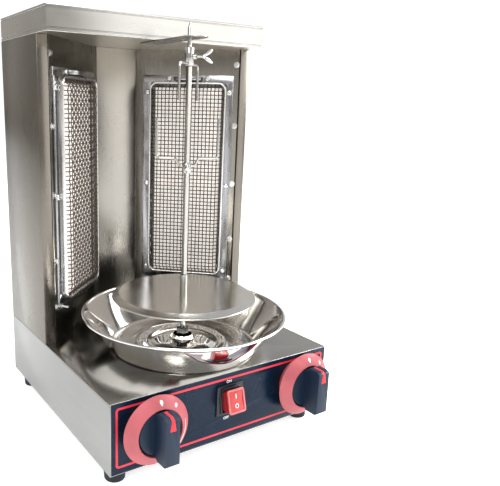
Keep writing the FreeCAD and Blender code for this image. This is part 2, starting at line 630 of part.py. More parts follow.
def make_drive():
    """Geared motor under the worktop, its hanger, bush, shaft and the spit coupling."""
    web_low = "(foot_height + 56)"
    legs = [box(f"hanger_leg_{side}", (f"{side} * 44.25 - 0.75", "spit_y - 30", web_low),
                ("1.5", "60", f"{BASE_TOP} - gauge - {web_low}")) for side in (-1, 1)]
    web = box("hanger_web", ("-45", "spit_y - 30", web_low), ("90", "60", "1.5"))
    hanger = fuse("hanger_blank", web, *legs)
    web_hole = rod("hanger_hole", ("0", "spit_y", "foot_height + 50"), "8", "20")
    keep(cut("motor_bracket", hanger, web_hole))
    case = box("gearbox_case", ("-32", "spit_y - 22", "foot_height + 34"), ("64", "44", "22"))
    can = rod("motor_can", ("10", "spit_y", "foot_height + 12"), "24.5", "22")
    bore = rod("gearbox_bore", ("0", "spit_y", "foot_height + 36"), "shaft_radius + running_gap", "30")
    keep(cut("gear_motor", fuse("gear_motor_blank", case, can), bore))
    bush = turned("shaft_bush", [
        ("shaft_radius + running_gap", "-6"), ("7", "-6"), ("7", "0"), ("9.5", "0"), ("9.5", "2"),
        ("shaft_radius + running_gap", "2")])
    keep(place(bush, ("0", "spit_y", BASE_TOP)))
    keep(rod("drive_shaft", ("0", "spit_y", "foot_height + 37"), "shaft_radius",
             "coupling_low + 5 - foot_height - 37"))
    sleeve = rod("coupling_sleeve", ("0", "spit_y", "coupling_low"), "7", "coupling_top - coupling_low - 9")
    nut = hexagon("coupling_nut", ("0", "spit_y", "coupling_top - 9.5"), "coupling_radius", "9.5")
    well = rod("coupling_well", ("0", "spit_y", "coupling_low - 1"), "shaft_radius", "6")
    socket = box("coupling_socket",
                 ("-socket_size / 2", "spit_y - socket_size / 2", "coupling_top - socket_depth"),
                 ("socket_size", "socket_size", "socket_depth + 1"))
    keep(cut("drive_coupling", fuse("coupling_blank", sleeve, nut), well, socket))


def make_spit():
    """Spit rod, carving disc and its sleeve."""
    half = "bar_size / 2"
    tip_low = "coupling_top - socket_depth + 0.1"
    rod_item = fuse("spit_rod",
                    box("spit_tip", (f"-{half}", f"spit_y - {half}", tip_low),
                        ("bar_size", "bar_size", "12")),
                    rod("spit_neck", ("0", "spit_y", "coupling_top + 0.6"), "neck_radius",
                        "disc_top - coupling_top - 0.6"),
                    box("spit_bar", (f"-{half}", f"spit_y - {half}", "disc_top"),
                        ("bar_size", "bar_size", "spit_shoulder - disc_top")),
                    rod("spit_pin", ("0", "spit_y", "spit_shoulder - 1"), "point_radius",
                        "spit_point - spit_shoulder - 6"),
                    cone("spit_cone", ("0", "spit_y", "spit_point - 7"), "point_radius", "0.3", "7"))
    keep(rod_item)
    disc = turned("carving_disc", [
        ("neck_radius", "-disc_gauge"), ("disc_radius - disc_bevel - 0.5", "-disc_gauge"),
        ("disc_radius - 0.9", "-disc_drop - disc_gauge"), ("disc_radius", "-disc_drop - 0.6"),
        ("disc_radius - disc_bevel", "0"), ("neck_radius", "0")])
    keep(place(disc, ("0", "spit_y", "disc_top")))
    sleeve = turned("disc_sleeve", [
        ("sleeve_bore", "0"), ("sleeve_radius", "0"), ("sleeve_radius", "sleeve_height - 0.6"),
        ("sleeve_radius - 0.5", "sleeve_height"), ("sleeve_bore", "sleeve_height")])
    keep(place(sleeve, ("0", "spit_y", "disc_top")))


def make_pan():
    """Spun drip pan: flat foot, crowned middle with a neck, flared wall and rolled rim."""
    gauge = number("pan_gauge")
    floor = number(BASE_TOP) + gauge / 2
    rim_r, rim_z = number("pan_rim_radius"), number("pan_rim_height")
    foot_r, crown_r = number("pan_foot_radius"), number("pan_crown_radius")
    neck_r, neck_z = number("pan_neck_radius"), number("pan_neck_height")
    corners = [V(neck_r, 0, neck_z), V(neck_r + 1, 0, neck_z - 5), V(crown_r - 14, 0, neck_z - 7),
               V(crown_r, 0, floor + 2), V(crown_r + 9, 0, floor + 4), V(crown_r + 18, 0, floor),
               V(foot_r, 0, floor), V(rim_r - 5, 0, rim_z - 3), V(rim_r, 0, rim_z)]
    wall = smooth_path(corners, 3.5).makeOffset2D(gauge / 2, join=0, fill=True, openResult=False)
    bead = Part.Face(Part.Wire([Part.makeCircle(number("pan_bead"), V(rim_r - 0.4, 0, rim_z), V(0, 1, 0))]))
    shell = wall.revolve(V(0, 0, 0), V(0, 0, 1), 360)
    ring = bead.revolve(V(0, 0, 0), V(0, 0, 1), 360)
    pan = shaped("drip_pan", shell.fuse(ring).removeSplitter())
    keep(place(pan, ("0", "spit_y", "0")))


def make_fork(name, corners, turn, level, collar_height):
    """A bent-wire fork in its own XZ plane, welded to a collar whose clamp screw faces -Y."""
    wire = swept(corners, number("fork_wire"), 5)
    outward = V(0, -1, 0)
    screw_radius = number("clamp_screw_radius")
    collar = Part.makeCylinder(number("collar_radius"), collar_height, V(0, 0, -collar_height / 2))
    boss = Part.makeCylinder(screw_radius + 1.6, 8.4, V(0, 0, 0), outward)
    bore = Part.makeCylinder(number("sleeve_bore"), 2 * collar_height, V(0, 0, -collar_height))
    screw_hole = Part.makeCylinder(screw_radius + number("running_gap"), 12, V(0, 0, 0), outward)
    solid = wire.fuse(collar).fuse(boss).cut(bore).cut(screw_hole)
    item = shaped(name, solid)
    keep(place(item, ("0", "spit_y", level), (0, 0, 1), turn))


def make_wing_screw(name, turn, level):
    """A thumb screw with two ears, its shank along -Y from just outside the spit bar."""
    outward = V(0, -1, 0)
    start, reach, spread = number("sleeve_bore"), number("ear_root"), number("ear_angle")
    solid = Part.makeCylinder(number("clamp_screw_radius"), reach - start, V(0, -start, 0), outward)
    solid = solid.fuse(Part.makeCylinder(2.4, 3.5, V(0, 1.5 - reach, 0), outward))
    for side in (-1, 1):
        ear = Part.makeBox(1.6, 10.5, 3.6, V(-0.8, -10.5, -1.8)).fuse(
            Part.makeCylinder(1.8, 1.6, V(-0.8, -10.5, 0), V(1, 0, 0)))
        ear.rotate(V(0, 0, 0), V(1, 0, 0), -side * spread)
        ear.translate(V(0, -reach, side * 0.6))
        solid = solid.fuse(ear)
    item = shaped(name, solid.removeSplitter())
    keep(place(item, ("0", "spit_y", level), (0, 0, 1), turn))


def make_forks():
    """Lower fork with prongs up and upper fork with prongs down."""
    half, rise, drop = number("fork_half"), number("prong_rise"), number("prong_drop")
    upward = [V(-half, 0, rise), V(-half, 0, 11), V(-13, 0, 11), V(-9, 0, 2), V(9, 0, 2), V(13, 0, 11),
              V(half, 0, 11), V(half, 0, rise)]
    downward = [V(-half, 0, -drop), V(-half, 0, -8), V(half, 0, -8), V(half, 0, -drop)]
    for name, corners, height in (("lower", upward, 12), ("upper", downward, 20)):
        turn, level = number(name + "_fork_turn"), name + "_fork_level"
        make_fork(name + "_fork", corners, turn, level, height)
        make_wing_screw(name + "_wing_screw", turn, level)


# ---------------------------------------------------------------- build, check and write

def check():
    """Stop if any object failed or any sub-part is not a sound solid."""
    for item in doc.Objects:
        if {"Invalid", "Error"} & set(item.State):
            raise RuntimeError(f"{item.Name} failed: {item.State}")
    for item in SUBPARTS:
        if item.Shape.isNull() or not item.Shape.isValid() or not item.Shape.Solids:
            raise RuntimeError(f"{item.Label} has no valid solid")


def main():
    make_base_shell()
    make_base_top()
    make_bottom()
    make_control_panel()
    for side, label in ((-1, "left"), (1, "right")):
        make_knob(side, label)
    make_gas_line()
    make_cord_gland()
    make_switch()
    make_tower()
    make_liner()
    make_cap()
    make_burner()
    make_drive()
    make_spit()
    make_pan()
    make_forks()
    doc.recompute()
    check()
    os.makedirs("parts", exist_ok=True)
    for item in SUBPARTS:
        item.Shape.exportStep(f"parts/{item.Label}.step")
    print(len(SUBPARTS), "sub-parts")


main()
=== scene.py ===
"""Looks of the vertical rotisserie broiler, built round its CAD frame. Metres, +Z up, front towards -Y."""
import json
import math

import bmesh
import bpy
from mathutils import Matrix, Vector


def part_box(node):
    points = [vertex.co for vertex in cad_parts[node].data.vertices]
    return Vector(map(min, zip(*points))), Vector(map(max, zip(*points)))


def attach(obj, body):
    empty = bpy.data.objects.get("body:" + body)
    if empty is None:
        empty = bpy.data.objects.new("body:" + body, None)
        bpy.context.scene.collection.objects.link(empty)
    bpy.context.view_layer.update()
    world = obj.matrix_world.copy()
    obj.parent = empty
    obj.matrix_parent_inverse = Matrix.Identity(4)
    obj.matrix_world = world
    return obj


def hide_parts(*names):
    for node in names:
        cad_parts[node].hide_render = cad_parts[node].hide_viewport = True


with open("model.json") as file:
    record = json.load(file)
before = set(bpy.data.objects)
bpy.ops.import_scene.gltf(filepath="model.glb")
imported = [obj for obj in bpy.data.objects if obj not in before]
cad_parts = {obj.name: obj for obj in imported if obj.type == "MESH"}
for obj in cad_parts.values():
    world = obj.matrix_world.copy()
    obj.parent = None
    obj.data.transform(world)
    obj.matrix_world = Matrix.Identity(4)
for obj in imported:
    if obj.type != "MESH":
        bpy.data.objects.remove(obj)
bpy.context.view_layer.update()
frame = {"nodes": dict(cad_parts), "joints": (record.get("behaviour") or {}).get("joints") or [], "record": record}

MM = 0.001
NODES = frame["nodes"]
BODY_OF = {node: body for body, members in frame["record"]["behaviour"]["bodies"].items() for node in members}
SLOT_OF = {part["node"]: part["material_slot"] for part in frame["record"]["subparts"]}
SCENE = bpy.context.scene

# ---------------------------------------------------------------- places taken from the frame

BASE_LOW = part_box("base_shell")[0]
DECK_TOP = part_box("base_top")[1].z
OVERLAY_LOW, OVERLAY_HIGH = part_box("control_panel")
FACE_Y = OVERLAY_LOW.y
DISC_LOW, DISC_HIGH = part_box("carving_disc")
SPIT = Vector(((DISC_LOW.x + DISC_HIGH.x) / 2, (DISC_LOW.y + DISC_HIGH.y) / 2, 0))
NICHE_LIP = 3 * MM
NICHE_CORNER = Vector((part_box("niche_back_panel")[1].x - NICHE_LIP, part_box("niche_back_panel")[0].y, 0))
FLANGE_CORNER = Vector((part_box("tower_right_side")[0].x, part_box("tower_right_side")[0].y, 0))
ALONG_WING = (FLANGE_CORNER - NICHE_CORNER).normalized()
BEHIND_WING = Vector((-ALONG_WING.y, ALONG_WING.x, 0))


def wing_matrix(side):
    """Carries a shape drawn with X along the wing and -Y into the niche to one wing."""
    turn = Matrix((ALONG_WING, BEHIND_WING, Vector((0, 0, 1)))).transposed().to_4x4()
    right = Matrix.Translation(NICHE_CORNER) @ turn
    return right if side > 0 else Matrix.Scale(-1, 4, (1, 0, 0)) @ right


def knob_matrix(side):
    """Carries a shape drawn with Z towards the user to a knob's axis on the base's front wall."""
    low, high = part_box("right_knob_bezel")
    centre = Vector((side * (low.x + high.x) / 2, BASE_LOW.y, (low.z + high.z) / 2))
    return Matrix.Translation(centre) @ Matrix.Rotation(math.radians(90), 4, "X")


# ---------------------------------------------------------------- node tree building

def add(tree, kind, links=None, **settings):
    """Add a node, set its properties and fill its sockets with links or plain values."""
    item = tree.nodes.new(kind)
    for key, value in settings.items():
        setattr(item, key, value)
    for key, value in (links or {}).items():
        if isinstance(value, bpy.types.Node):
            value = next(socket for socket in value.outputs if socket.enabled)
        if isinstance(value, bpy.types.NodeSocket):
            tree.links.new(value, item.inputs[key])
        else:
            item.inputs[key].default_value = value
    return item


def calc(tree, operation, *terms):
    """A math node on links or numbers."""
    return add(tree, "ShaderNodeMath", dict(enumerate(terms)), operation=operation)


def group_tree(name, kind, inputs, outputs):
    """A node group with named sockets, its input node and its output node."""
    tree = bpy.data.node_groups.new(name, kind)
    for way, sockets in (("INPUT", inputs), ("OUTPUT", outputs)):
        for label, (socket, default) in sockets.items():
            made = tree.interface.new_socket(label, in_out=way, socket_type="NodeSocket" + socket)
            if default is not None:
                made.default_value = default
    return tree, tree.nodes.new("NodeGroupInput").outputs, tree.nodes.new("NodeGroupOutput")


# ---------------------------------------------------------------- shader groups

def make_grain_group():
    """Fine parallel scratches: noise stretched along one direction."""
    tree, given, result = group_tree(
        "brushed grain", "ShaderNodeTree",
        {"Across": ("Vector", (1.0, 1.0, 1.0)), "Fineness": ("Float", 1.0)},
        {"Grain": ("Float", None), "Streaks": ("Float", None)})
    place = add(tree, "ShaderNodeTexCoord").outputs["Object"]
    stretched = add(tree, "ShaderNodeVectorMath", {0: place, 1: given["Across"]}, operation="MULTIPLY")
    fine = add(tree, "ShaderNodeVectorMath", {0: stretched, "Scale": given["Fineness"]}, operation="SCALE")
    grain = add(tree, "ShaderNodeTexNoise", {"Vector": fine, "Scale": 1.0, "Detail": 3.0, "Roughness": 0.7})
    broad = add(tree, "ShaderNodeTexNoise", {"Vector": fine, "Scale": 0.12, "Detail": 2.0})
    tree.links.new(grain.outputs["Fac"], result.inputs["Grain"])
    tree.links.new(broad.outputs["Fac"], result.inputs["Streaks"])
    return tree


def make_handling_group():
    """Smudges and faint stains left by handling and heat."""
    tree, given, result = group_tree(
        "handling marks", "ShaderNodeTree",
        {"Scale": ("Float", 12.0), "Sharpness": ("Float", 0.25)},
        {"Smudge": ("Float", None), "Waviness": ("Float", None)})
    place = add(tree, "ShaderNodeTexCoord").outputs["Object"]
    cloud = add(tree, "ShaderNodeTexNoise", {"Vector": place, "Scale": given["Scale"], "Detail": 4.0,
                                             "Distortion": 0.6})
    half = calc(tree, "MULTIPLY", given["Sharpness"], 0.5)
    low = calc(tree, "SUBTRACT", 0.5, half)
    high = calc(tree, "ADD", 0.5, half)
    smudge = add(tree, "ShaderNodeMapRange",
                 {"Value": cloud.outputs["Fac"], "From Min": low, "From Max": high})
    wave = add(tree, "ShaderNodeTexNoise", {"Vector": place, "Scale": 5.0, "Detail": 0.0})
    tree.links.new(smudge.outputs["Result"], result.inputs["Smudge"])
    tree.links.new(wave.outputs["Fac"], result.inputs["Waviness"])
    return tree


GRAIN = make_grain_group()
HANDLING = make_handling_group()

# ---------------------------------------------------------------- materials


def new_material(name, metallic, roughness, **surface):
    """A principled material, its output, and constants set on the shader's own sockets."""
    material = bpy.data.materials.new(name)
    material.use_nodes = True
    tree = material.node_tree
    shader = tree.nodes["Principled BSDF"]
    shader.inputs["Metallic"].default_value = metallic
    shader.inputs["Roughness"].default_value = roughness
    for label, value in surface.items():
        shader.inputs[label.replace("_", " ")].default_value = value
    return material, tree, shader


def tint_between(tree, mask, dark, light):
    """A colour that runs from dark to light as the mask rises."""
    mix = add(tree, "ShaderNodeMix", {"Factor": mask}, data_type="RGBA")
    for socket, colour in zip([item for item in mix.inputs if item.type == "RGBA"], (dark, light)):
        socket.default_value = (*colour, 1.0)
    return next(item for item in mix.outputs if item.type == "RGBA")


def spread(tree, mask, low, high):
    """A mask stretched from low to high."""
    return add(tree, "ShaderNodeMapRange", {"Value": mask, "To Min": low, "To Max": high}).outputs["Result"]


def handling_marks(tree, scale):
    """The smudge and waviness of the handling group, at a scale."""
    marks = add(tree, "ShaderNodeGroup", {}, node_tree=HANDLING)
    marks.inputs["Scale"].default_value = scale
    return marks.outputs


def noise_over(tree, scale, detail):
    """Noise in the piece's own coordinates."""
    place = add(tree, "ShaderNodeTexCoord").outputs["Object"]
    return add(tree, "ShaderNodeTexNoise", {"Vector": place, "Scale": scale, "Detail": detail}).outputs["Fac"]


def raise_surface(tree, shader, height, strength):
    """Let a height in metres tilt the shader's normal."""
    bump = add(tree, "ShaderNodeBump", {"Height": height, "Strength": strength, "Distance": 1.0})
    tree.links.new(bump.outputs["Normal"], shader.inputs["Normal"])


def steel(name, colour, roughness, across, fineness=900.0, grain_depth=0.12, wave_depth=0.0,
          smudge=0.06, tone=0.08, scale=12.0):
    """Sheet or bar steel with directional grain, faint smudges and, on thin sheet, slow waves."""
    material, tree, shader = new_material(name, 1.0, roughness)
    grain = add(tree, "ShaderNodeGroup", {}, node_tree=GRAIN)
    grain.inputs["Across"].default_value = across
    grain.inputs["Fineness"].default_value = fineness
    marks = handling_marks(tree, scale)
    mask = calc(tree, "ADD", calc(tree, "MULTIPLY", grain.outputs["Streaks"], 0.6),
                calc(tree, "MULTIPLY", marks["Smudge"], 0.4))
    dark = tuple(channel * (1 - tone) for channel in colour)
    light = tuple(min(1.0, channel * (1 + tone)) for channel in colour)
    tree.links.new(tint_between(tree, mask, dark, light), shader.inputs["Base Color"])
    rough = calc(tree, "ADD", spread(tree, grain.outputs["Grain"], roughness - 0.05, roughness + 0.05),
                 calc(tree, "MULTIPLY", marks["Smudge"], smudge))
    tree.links.new(rough.outputs[0], shader.inputs["Roughness"])
    height = calc(tree, "ADD", calc(tree, "MULTIPLY", grain.outputs["Grain"], 0.00002),
                  calc(tree, "MULTIPLY", marks["Waviness"], wave_depth))
    raise_surface(tree, shader, height, grain_depth * 5)
    return material


def turned_steel(name, colour, roughness, centre):
    """Steel polished on a spindle: rings about an upright axis."""
    material, tree, shader = new_material(name, 1.0, roughness)
    place = add(tree, "ShaderNodeTexCoord").outputs["Object"]
    centred = add(tree, "ShaderNodeVectorMath", {0: place, 1: tuple(centre)}, operation="SUBTRACT")
    parts = add(tree, "ShaderNodeSeparateXYZ", {"Vector": centred})
    squares = [calc(tree, "MULTIPLY", parts.outputs[way], parts.outputs[way]) for way in ("X", "Y")]
    radius = calc(tree, "SQRT", calc(tree, "ADD", *squares))
    rings = add(tree, "ShaderNodeTexNoise", {"W": calc(tree, "MULTIPLY", radius, 1500.0), "Scale": 1.0,
                                             "Detail": 3.0}, noise_dimensions="1D")
    marks = handling_marks(tree, 18.0)
    dark = tuple(channel * 0.9 for channel in colour)
    tree.links.new(tint_between(tree, rings.outputs["Fac"], dark, colour), shader.inputs["Base Color"])
    rough = calc(tree, "ADD", spread(tree, rings.outputs["Fac"], roughness - 0.05, roughness + 0.06),
                 calc(tree, "MULTIPLY", marks["Smudge"], 0.05))
    tree.links.new(rough.outputs[0], shader.inputs["Roughness"])
    raise_surface(tree, shader, calc(tree, "MULTIPLY", rings.outputs["Fac"], 0.00002), 0.5)
    return material


def mirror_steel(name, colour, roughness, wave_depth):
    """Bright drawn steel: a mirror with slow waves from the press and a few smudges."""
    material, tree, shader = new_material(name, 1.0, roughness)
    smudge = handling_marks(tree, 16.0)["Smudge"]
    dark = tuple(channel * 0.94 for channel in colour)
    tree.links.new(tint_between(tree, smudge, colour, dark), shader.inputs["Base Color"])
    tree.links.new(spread(tree, smudge, roughness, roughness + 0.05), shader.inputs["Roughness"])
    raise_surface(tree, shader, calc(tree, "MULTIPLY", noise_over(tree, 24.0, 1.0), wave_depth), 1.0)
    return material


def moulded(name, colour, roughness, grain_depth=0.00002, **surface):
    """Moulded or printed plastic with a fine sparked texture and slight unevenness of tone."""
    material, tree, shader = new_material(name, 0.0, roughness, **surface)
    smudge = handling_marks(tree, 30.0)["Smudge"]
    dark = tuple(channel * 0.82 for channel in colour)
    tree.links.new(tint_between(tree, smudge, dark, colour), shader.inputs["Base Color"])
    tree.links.new(spread(tree, smudge, roughness, roughness + 0.08), shader.inputs["Roughness"])
    raise_surface(tree, shader, calc(tree, "MULTIPLY", noise_over(tree, 2600.0, 2.0), grain_depth), 0.6)
    return material


def fired_ceramic(name):
    """Chalky off-white burner plaque, faintly warmer in patches, with painted light: a faint glow that brightens
    it in the niche's shade.
    """
    # painted light: the emission makes the unlit plaque glow faintly, lifting it out of the shade of the niche and
    # the wire cloth
    material, tree, shader = new_material(name, 0.0, 0.85, Emission_Color=(1.0, 0.95, 0.90, 1.0),
                                          Emission_Strength=0.32)
    blush = noise_over(tree, 9.0, 3.0)
    warmed = tint_between(tree, blush, (0.96, 0.90, 0.85), (1.0, 0.97, 0.94))
    tree.links.new(warmed, shader.inputs["Base Color"])
    raise_surface(tree, shader, calc(tree, "MULTIPLY", noise_over(tree, 1400.0, 2.0), 0.00003), 0.5)
    return material


MATERIALS = {
    # the sheet steels below are one stainless steel in lit and shaded copies: their colours are painted light and
    # shade, darkest on the tower and wings, palest on the soffit
    # grain runs level on the base and cap, upright on the tower
    "base_steel": steel("base steel", (0.33, 0.33, 0.32), 0.30, (0.03, 0.03, 1.0), wave_depth=0.0006),
    "deck_steel": steel("deck steel", (0.42, 0.41, 0.39), 0.17, (0.03, 1.0, 1.0), wave_depth=0.0010),
    # painted shade: the tower, wing and niche steel is darkened and warmed in colour for the shade on the tower's
    # sides and in the niche
    "tower_steel": steel("tower steel", (0.21, 0.195, 0.172), 0.25, (1.0, 1.0, 0.03), wave_depth=0.0020),
    "wing_steel": steel("wing steel", (0.23, 0.215, 0.19), 0.22, (1.0, 1.0, 0.03), wave_depth=0.0020,
                        tone=0.12),
    "niche_steel": steel("niche steel", (0.34, 0.325, 0.30), 0.25, (1.0, 1.0, 0.03), wave_depth=0.0020,
                         tone=0.12),
    # painted light: the soffit's steel is made pale to stand in for light that the lamps don't reach under the cap
    "soffit_steel": steel("soffit steel", (0.66, 0.62, 0.56), 0.34, (0.03, 1.0, 1.0), wave_depth=0.0010),
    "dark_steel": steel("dark steel", (0.16, 0.155, 0.15), 0.25, (1.0, 1.0, 0.05), fineness=1400.0),
    "cap_steel": steel("cap steel", (0.46, 0.455, 0.44), 0.22, (0.03, 0.03, 1.0), wave_depth=0.0008),
    "burner_steel": steel("burner steel", (0.40, 0.40, 0.41), 0.18, (1.0, 1.0, 0.05), wave_depth=0.0012,
                          smudge=0.12, tone=0.15, scale=30.0),
    "polished_steel": mirror_steel("polished steel", (0.86, 0.85, 0.83), 0.04, 0.0012),
    "spit_steel": steel("spit steel", (0.44, 0.43, 0.41), 0.20, (1.0, 1.0, 0.05), fineness=1400.0),
    "disc_steel": turned_steel("disc steel", (0.74, 0.72, 0.68), 0.17, SPIT),
    "frame_steel": steel("frame steel", (0.72, 0.71, 0.69), 0.20, (1.0, 1.0, 0.05), smudge=0.10, tone=0.12),
    "zinc": steel("bright zinc", (0.72, 0.72, 0.71), 0.20, (1.0, 1.0, 1.0), fineness=1200.0, tone=0.12),
    "wire": steel("wire", (0.15, 0.13, 0.115), 0.36, (1.0, 1.0, 1.0), fineness=700.0, tone=0.16, scale=60.0),
    "brass": steel("brass", (0.80, 0.62, 0.30), 0.26, (1.0, 0.05, 1.0), fineness=1100.0),
    "bronze": steel("bronze", (0.62, 0.44, 0.25), 0.38, (1.0, 1.0, 0.05)),
    "aluminium": steel("cast aluminium", (0.76, 0.76, 0.77), 0.42, (1.0, 1.0, 1.0), fineness=500.0),
    "ceramic": fired_ceramic("burner ceramic"),
    "overlay": moulded("printed overlay", (0.006, 0.021, 0.046), 0.22, Specular_IOR_Level=0.28),
    "bezel_red": moulded("bezel red", (0.45, 0.125, 0.140), 0.42),
    "outline_red": moulded("outline red", (0.72, 0.06, 0.09), 0.35),
    "knob_black": moulded("knob black", (0.010, 0.027, 0.055), 0.36, grain_depth=0.00004),
    "pointer_red": moulded("pointer red", (0.75, 0.035, 0.05), 0.35),
    "rocker_red": moulded("rocker red", (0.50, 0.02, 0.02), 0.10, Coat_Weight=1.0, Coat_Roughness=0.03,
                          Subsurface_Weight=0.25, Subsurface_Scale=0.004),
    # partly painted highlight: the rim's pale pink is the red button seen through clear plastic, lightened for the
    # light caught along the cover's edges
    "rocker_rim": moulded("rocker rim", (0.55, 0.16, 0.15), 0.12, Coat_Weight=1.0, Coat_Roughness=0.04,
                          Subsurface_Weight=0.4, Subsurface_Scale=0.004),
    "switch_black": moulded("switch black", (0.010, 0.014, 0.022), 0.18, Coat_Weight=0.3),
    "gland_black": moulded("gland black", (0.015, 0.015, 0.017), 0.38),
    "rubber": moulded("foot rubber", (0.030, 0.040, 0.052), 0.62, grain_depth=0.00008),
    "print_white": moulded("print white", (0.86, 0.87, 0.88), 0.40),
}
FINISH_OF = {"base_shell": "base_steel", "base_top": "deck_steel", "bottom_plate": "base_steel",
             "tower_left_side": "tower_steel", "tower_right_side": "tower_steel", "tower_back": "tower_steel",
             "niche_back_panel": "niche_steel", "left_wing_panel": "wing_steel",
             "right_wing_panel": "wing_steel", "ceiling_plate": "soffit_steel", "top_cover": "cap_steel",
             "spit_guide_plate": "cap_steel", "flame_sensors": "zinc", "drive_coupling": "dark_steel",
             "left_mesh_frame": "frame_steel", "right_mesh_frame": "frame_steel"}


def finish_of(node):
    """The material of a CAD piece: its own choice, or its slot's."""
    return FINISH_OF.get(node) or SLOT_OF[node]


# ---------------------------------------------------------------- mesh building

def settle(item, material, node=None, body=None, slot=None, angle=35.0, hides=True):
    """Shade a finished piece, give it its finish, and tie it to its body."""
    mesh = item.data
    mesh.shade_smooth()
    mesh.set_sharp_from_angle(angle=math.radians(angle))
    mesh.materials.clear()
    mesh.materials.append(MATERIALS[material])
    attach(item, body or BODY_OF[node])
    if node and hides:
        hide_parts(node)
    return item


def link_mesh(name, mesh):
    """An object that shows a mesh, put in the scene."""
    item = bpy.data.objects.new(name, mesh)
    SCENE.collection.objects.link(item)
    return item


def from_bmesh(name, build):
    """An object made from a finished edit mesh, faces outwards."""
    mesh = bpy.data.meshes.new(name)
    bmesh.ops.recalc_face_normals(build, faces=build.faces)
    build.to_mesh(mesh)
    build.free()
    return link_mesh(name, mesh)


def applied(item):
    """Swap an object's live modifiers for their result."""
    bpy.context.view_layer.update()
    result = bpy.data.meshes.new_from_object(item.evaluated_get(bpy.context.evaluated_depsgraph_get()))
    item.modifiers.clear()
    item.data = result
    return item


def softened(node, width, segments=2, angle=35.0, **choice):
    """A CAD sheet or bar with its edges rounded as folding and tumbling leave them."""
    build = bmesh.new()
    build.from_mesh(NODES[node].data)
    bmesh.ops.remove_doubles(build, verts=build.verts, dist=0.00001)
    bmesh.ops.dissolve_limit(build, angle_limit=math.radians(0.5), verts=build.verts, edges=build.edges)
    mesh = bpy.data.meshes.new(node + "_rounded")
    build.to_mesh(mesh)
    build.free()
    item = link_mesh(node + "_rounded", mesh)
    bevel = item.modifiers.new("edge", "BEVEL")
    bevel.width = width * MM
    bevel.segments = segments
    bevel.limit_method = "ANGLE"
    bevel.angle_limit = math.radians(angle)
    applied(item)
    return settle(item, choice.pop("material", finish_of(node)), node, **choice)


def lathe(name, profile, centre, turns=128, axis=None):
    """Spin a closed or open list of (radius, height) corners in millimetres about an upright axis."""
    build = bmesh.new()
    rings = []
    for radius, height in profile:
        if radius < 0.001:
            rings.append([build.verts.new((0, 0, height * MM))])
            continue
        rings.append([build.verts.new((radius * MM * math.cos(step * math.tau / turns),
                                       radius * MM * math.sin(step * math.tau / turns), height * MM))
                      for step in range(turns)])
    for lower, upper in zip(rings, rings[1:]):
        for step in range(turns):
            corners = [lower[step % len(lower)], lower[(step + 1) % len(lower)],
                       upper[(step + 1) % len(upper)], upper[step % len(upper)]]
            unique = list(dict.fromkeys(corners))
            if len(unique) > 2:
                build.faces.new(unique)
    item = from_bmesh(name, build)
    item.data.transform(axis or Matrix.Translation(centre))
    return item


def arc(centre, radius, start, end, steps):
    """Points of a round stretch of a profile, angles in degrees."""
    return [(centre[0] + radius * math.cos(math.radians(start + (end - start) * step / steps)),
             centre[1] + radius * math.sin(math.radians(start + (end - start) * step / steps)))
            for step in range(steps + 1)]


def loft(name, rings, ring_shaped=False):
    """Skin a stack of equal loops of points: capped at both ends, or closed on itself."""
    build = bmesh.new()
    loops = [[build.verts.new(point) for point in ring] for ring in rings]
    for lower, upper in zip(loops, loops[1:] + (loops[:1] if ring_shaped else [])):
        for index in range(len(lower)):
            after = (index + 1) % len(lower)
            build.faces.new((lower[index], lower[after], upper[after], upper[index]))
    if not ring_shaped:
        build.faces.new(loops[-1])
        build.faces.new(list(reversed(loops[0])))
    return from_bmesh(name, build)


def flat_shape(name, outline, thickness, matrix):
    """An outline in millimetres raised by a thickness, such as a printed mark's ink."""
    build = bmesh.new()
    face = build.faces.new([build.verts.new((x * MM, y * MM, 0)) for x, y in outline])
    raised = bmesh.ops.extrude_face_region(build, geom=[face])
    lifted = [part for part in raised["geom"] if isinstance(part, bmesh.types.BMVert)]
    bmesh.ops.translate(build, verts=lifted, vec=(0, 0, thickness * MM))
    item = from_bmesh(name, build)
    item.data.transform(matrix)
    return item


# ---------------------------------------------------------------- geometry node makers

def with_tree(name, tree, mesh, values):
    """Run a geometry tree on a mesh with named inputs and keep only the result."""
    item = link_mesh(name, mesh)
    modifier = item.modifiers.new("maker", "NODES")
    modifier.node_group = tree
    sockets = {socket.name: socket.identifier for socket in tree.interface.items_tree
               if getattr(socket, "in_out", "") == "INPUT"}
    for label, value in values.items():
        modifier[sockets[label]] = value
    return applied(item)


def end_tree(tree, given, result, geometry):
    """Realise the copies, give them their material and hand them out."""
    real = add(tree, "GeometryNodeRealizeInstances", {"Geometry": geometry})
    coated = add(tree, "GeometryNodeSetMaterial", {"Geometry": real, "Material": given["Material"]})
    tree.links.new(coated.outputs["Geometry"], result.inputs["Geometry"])
    return tree


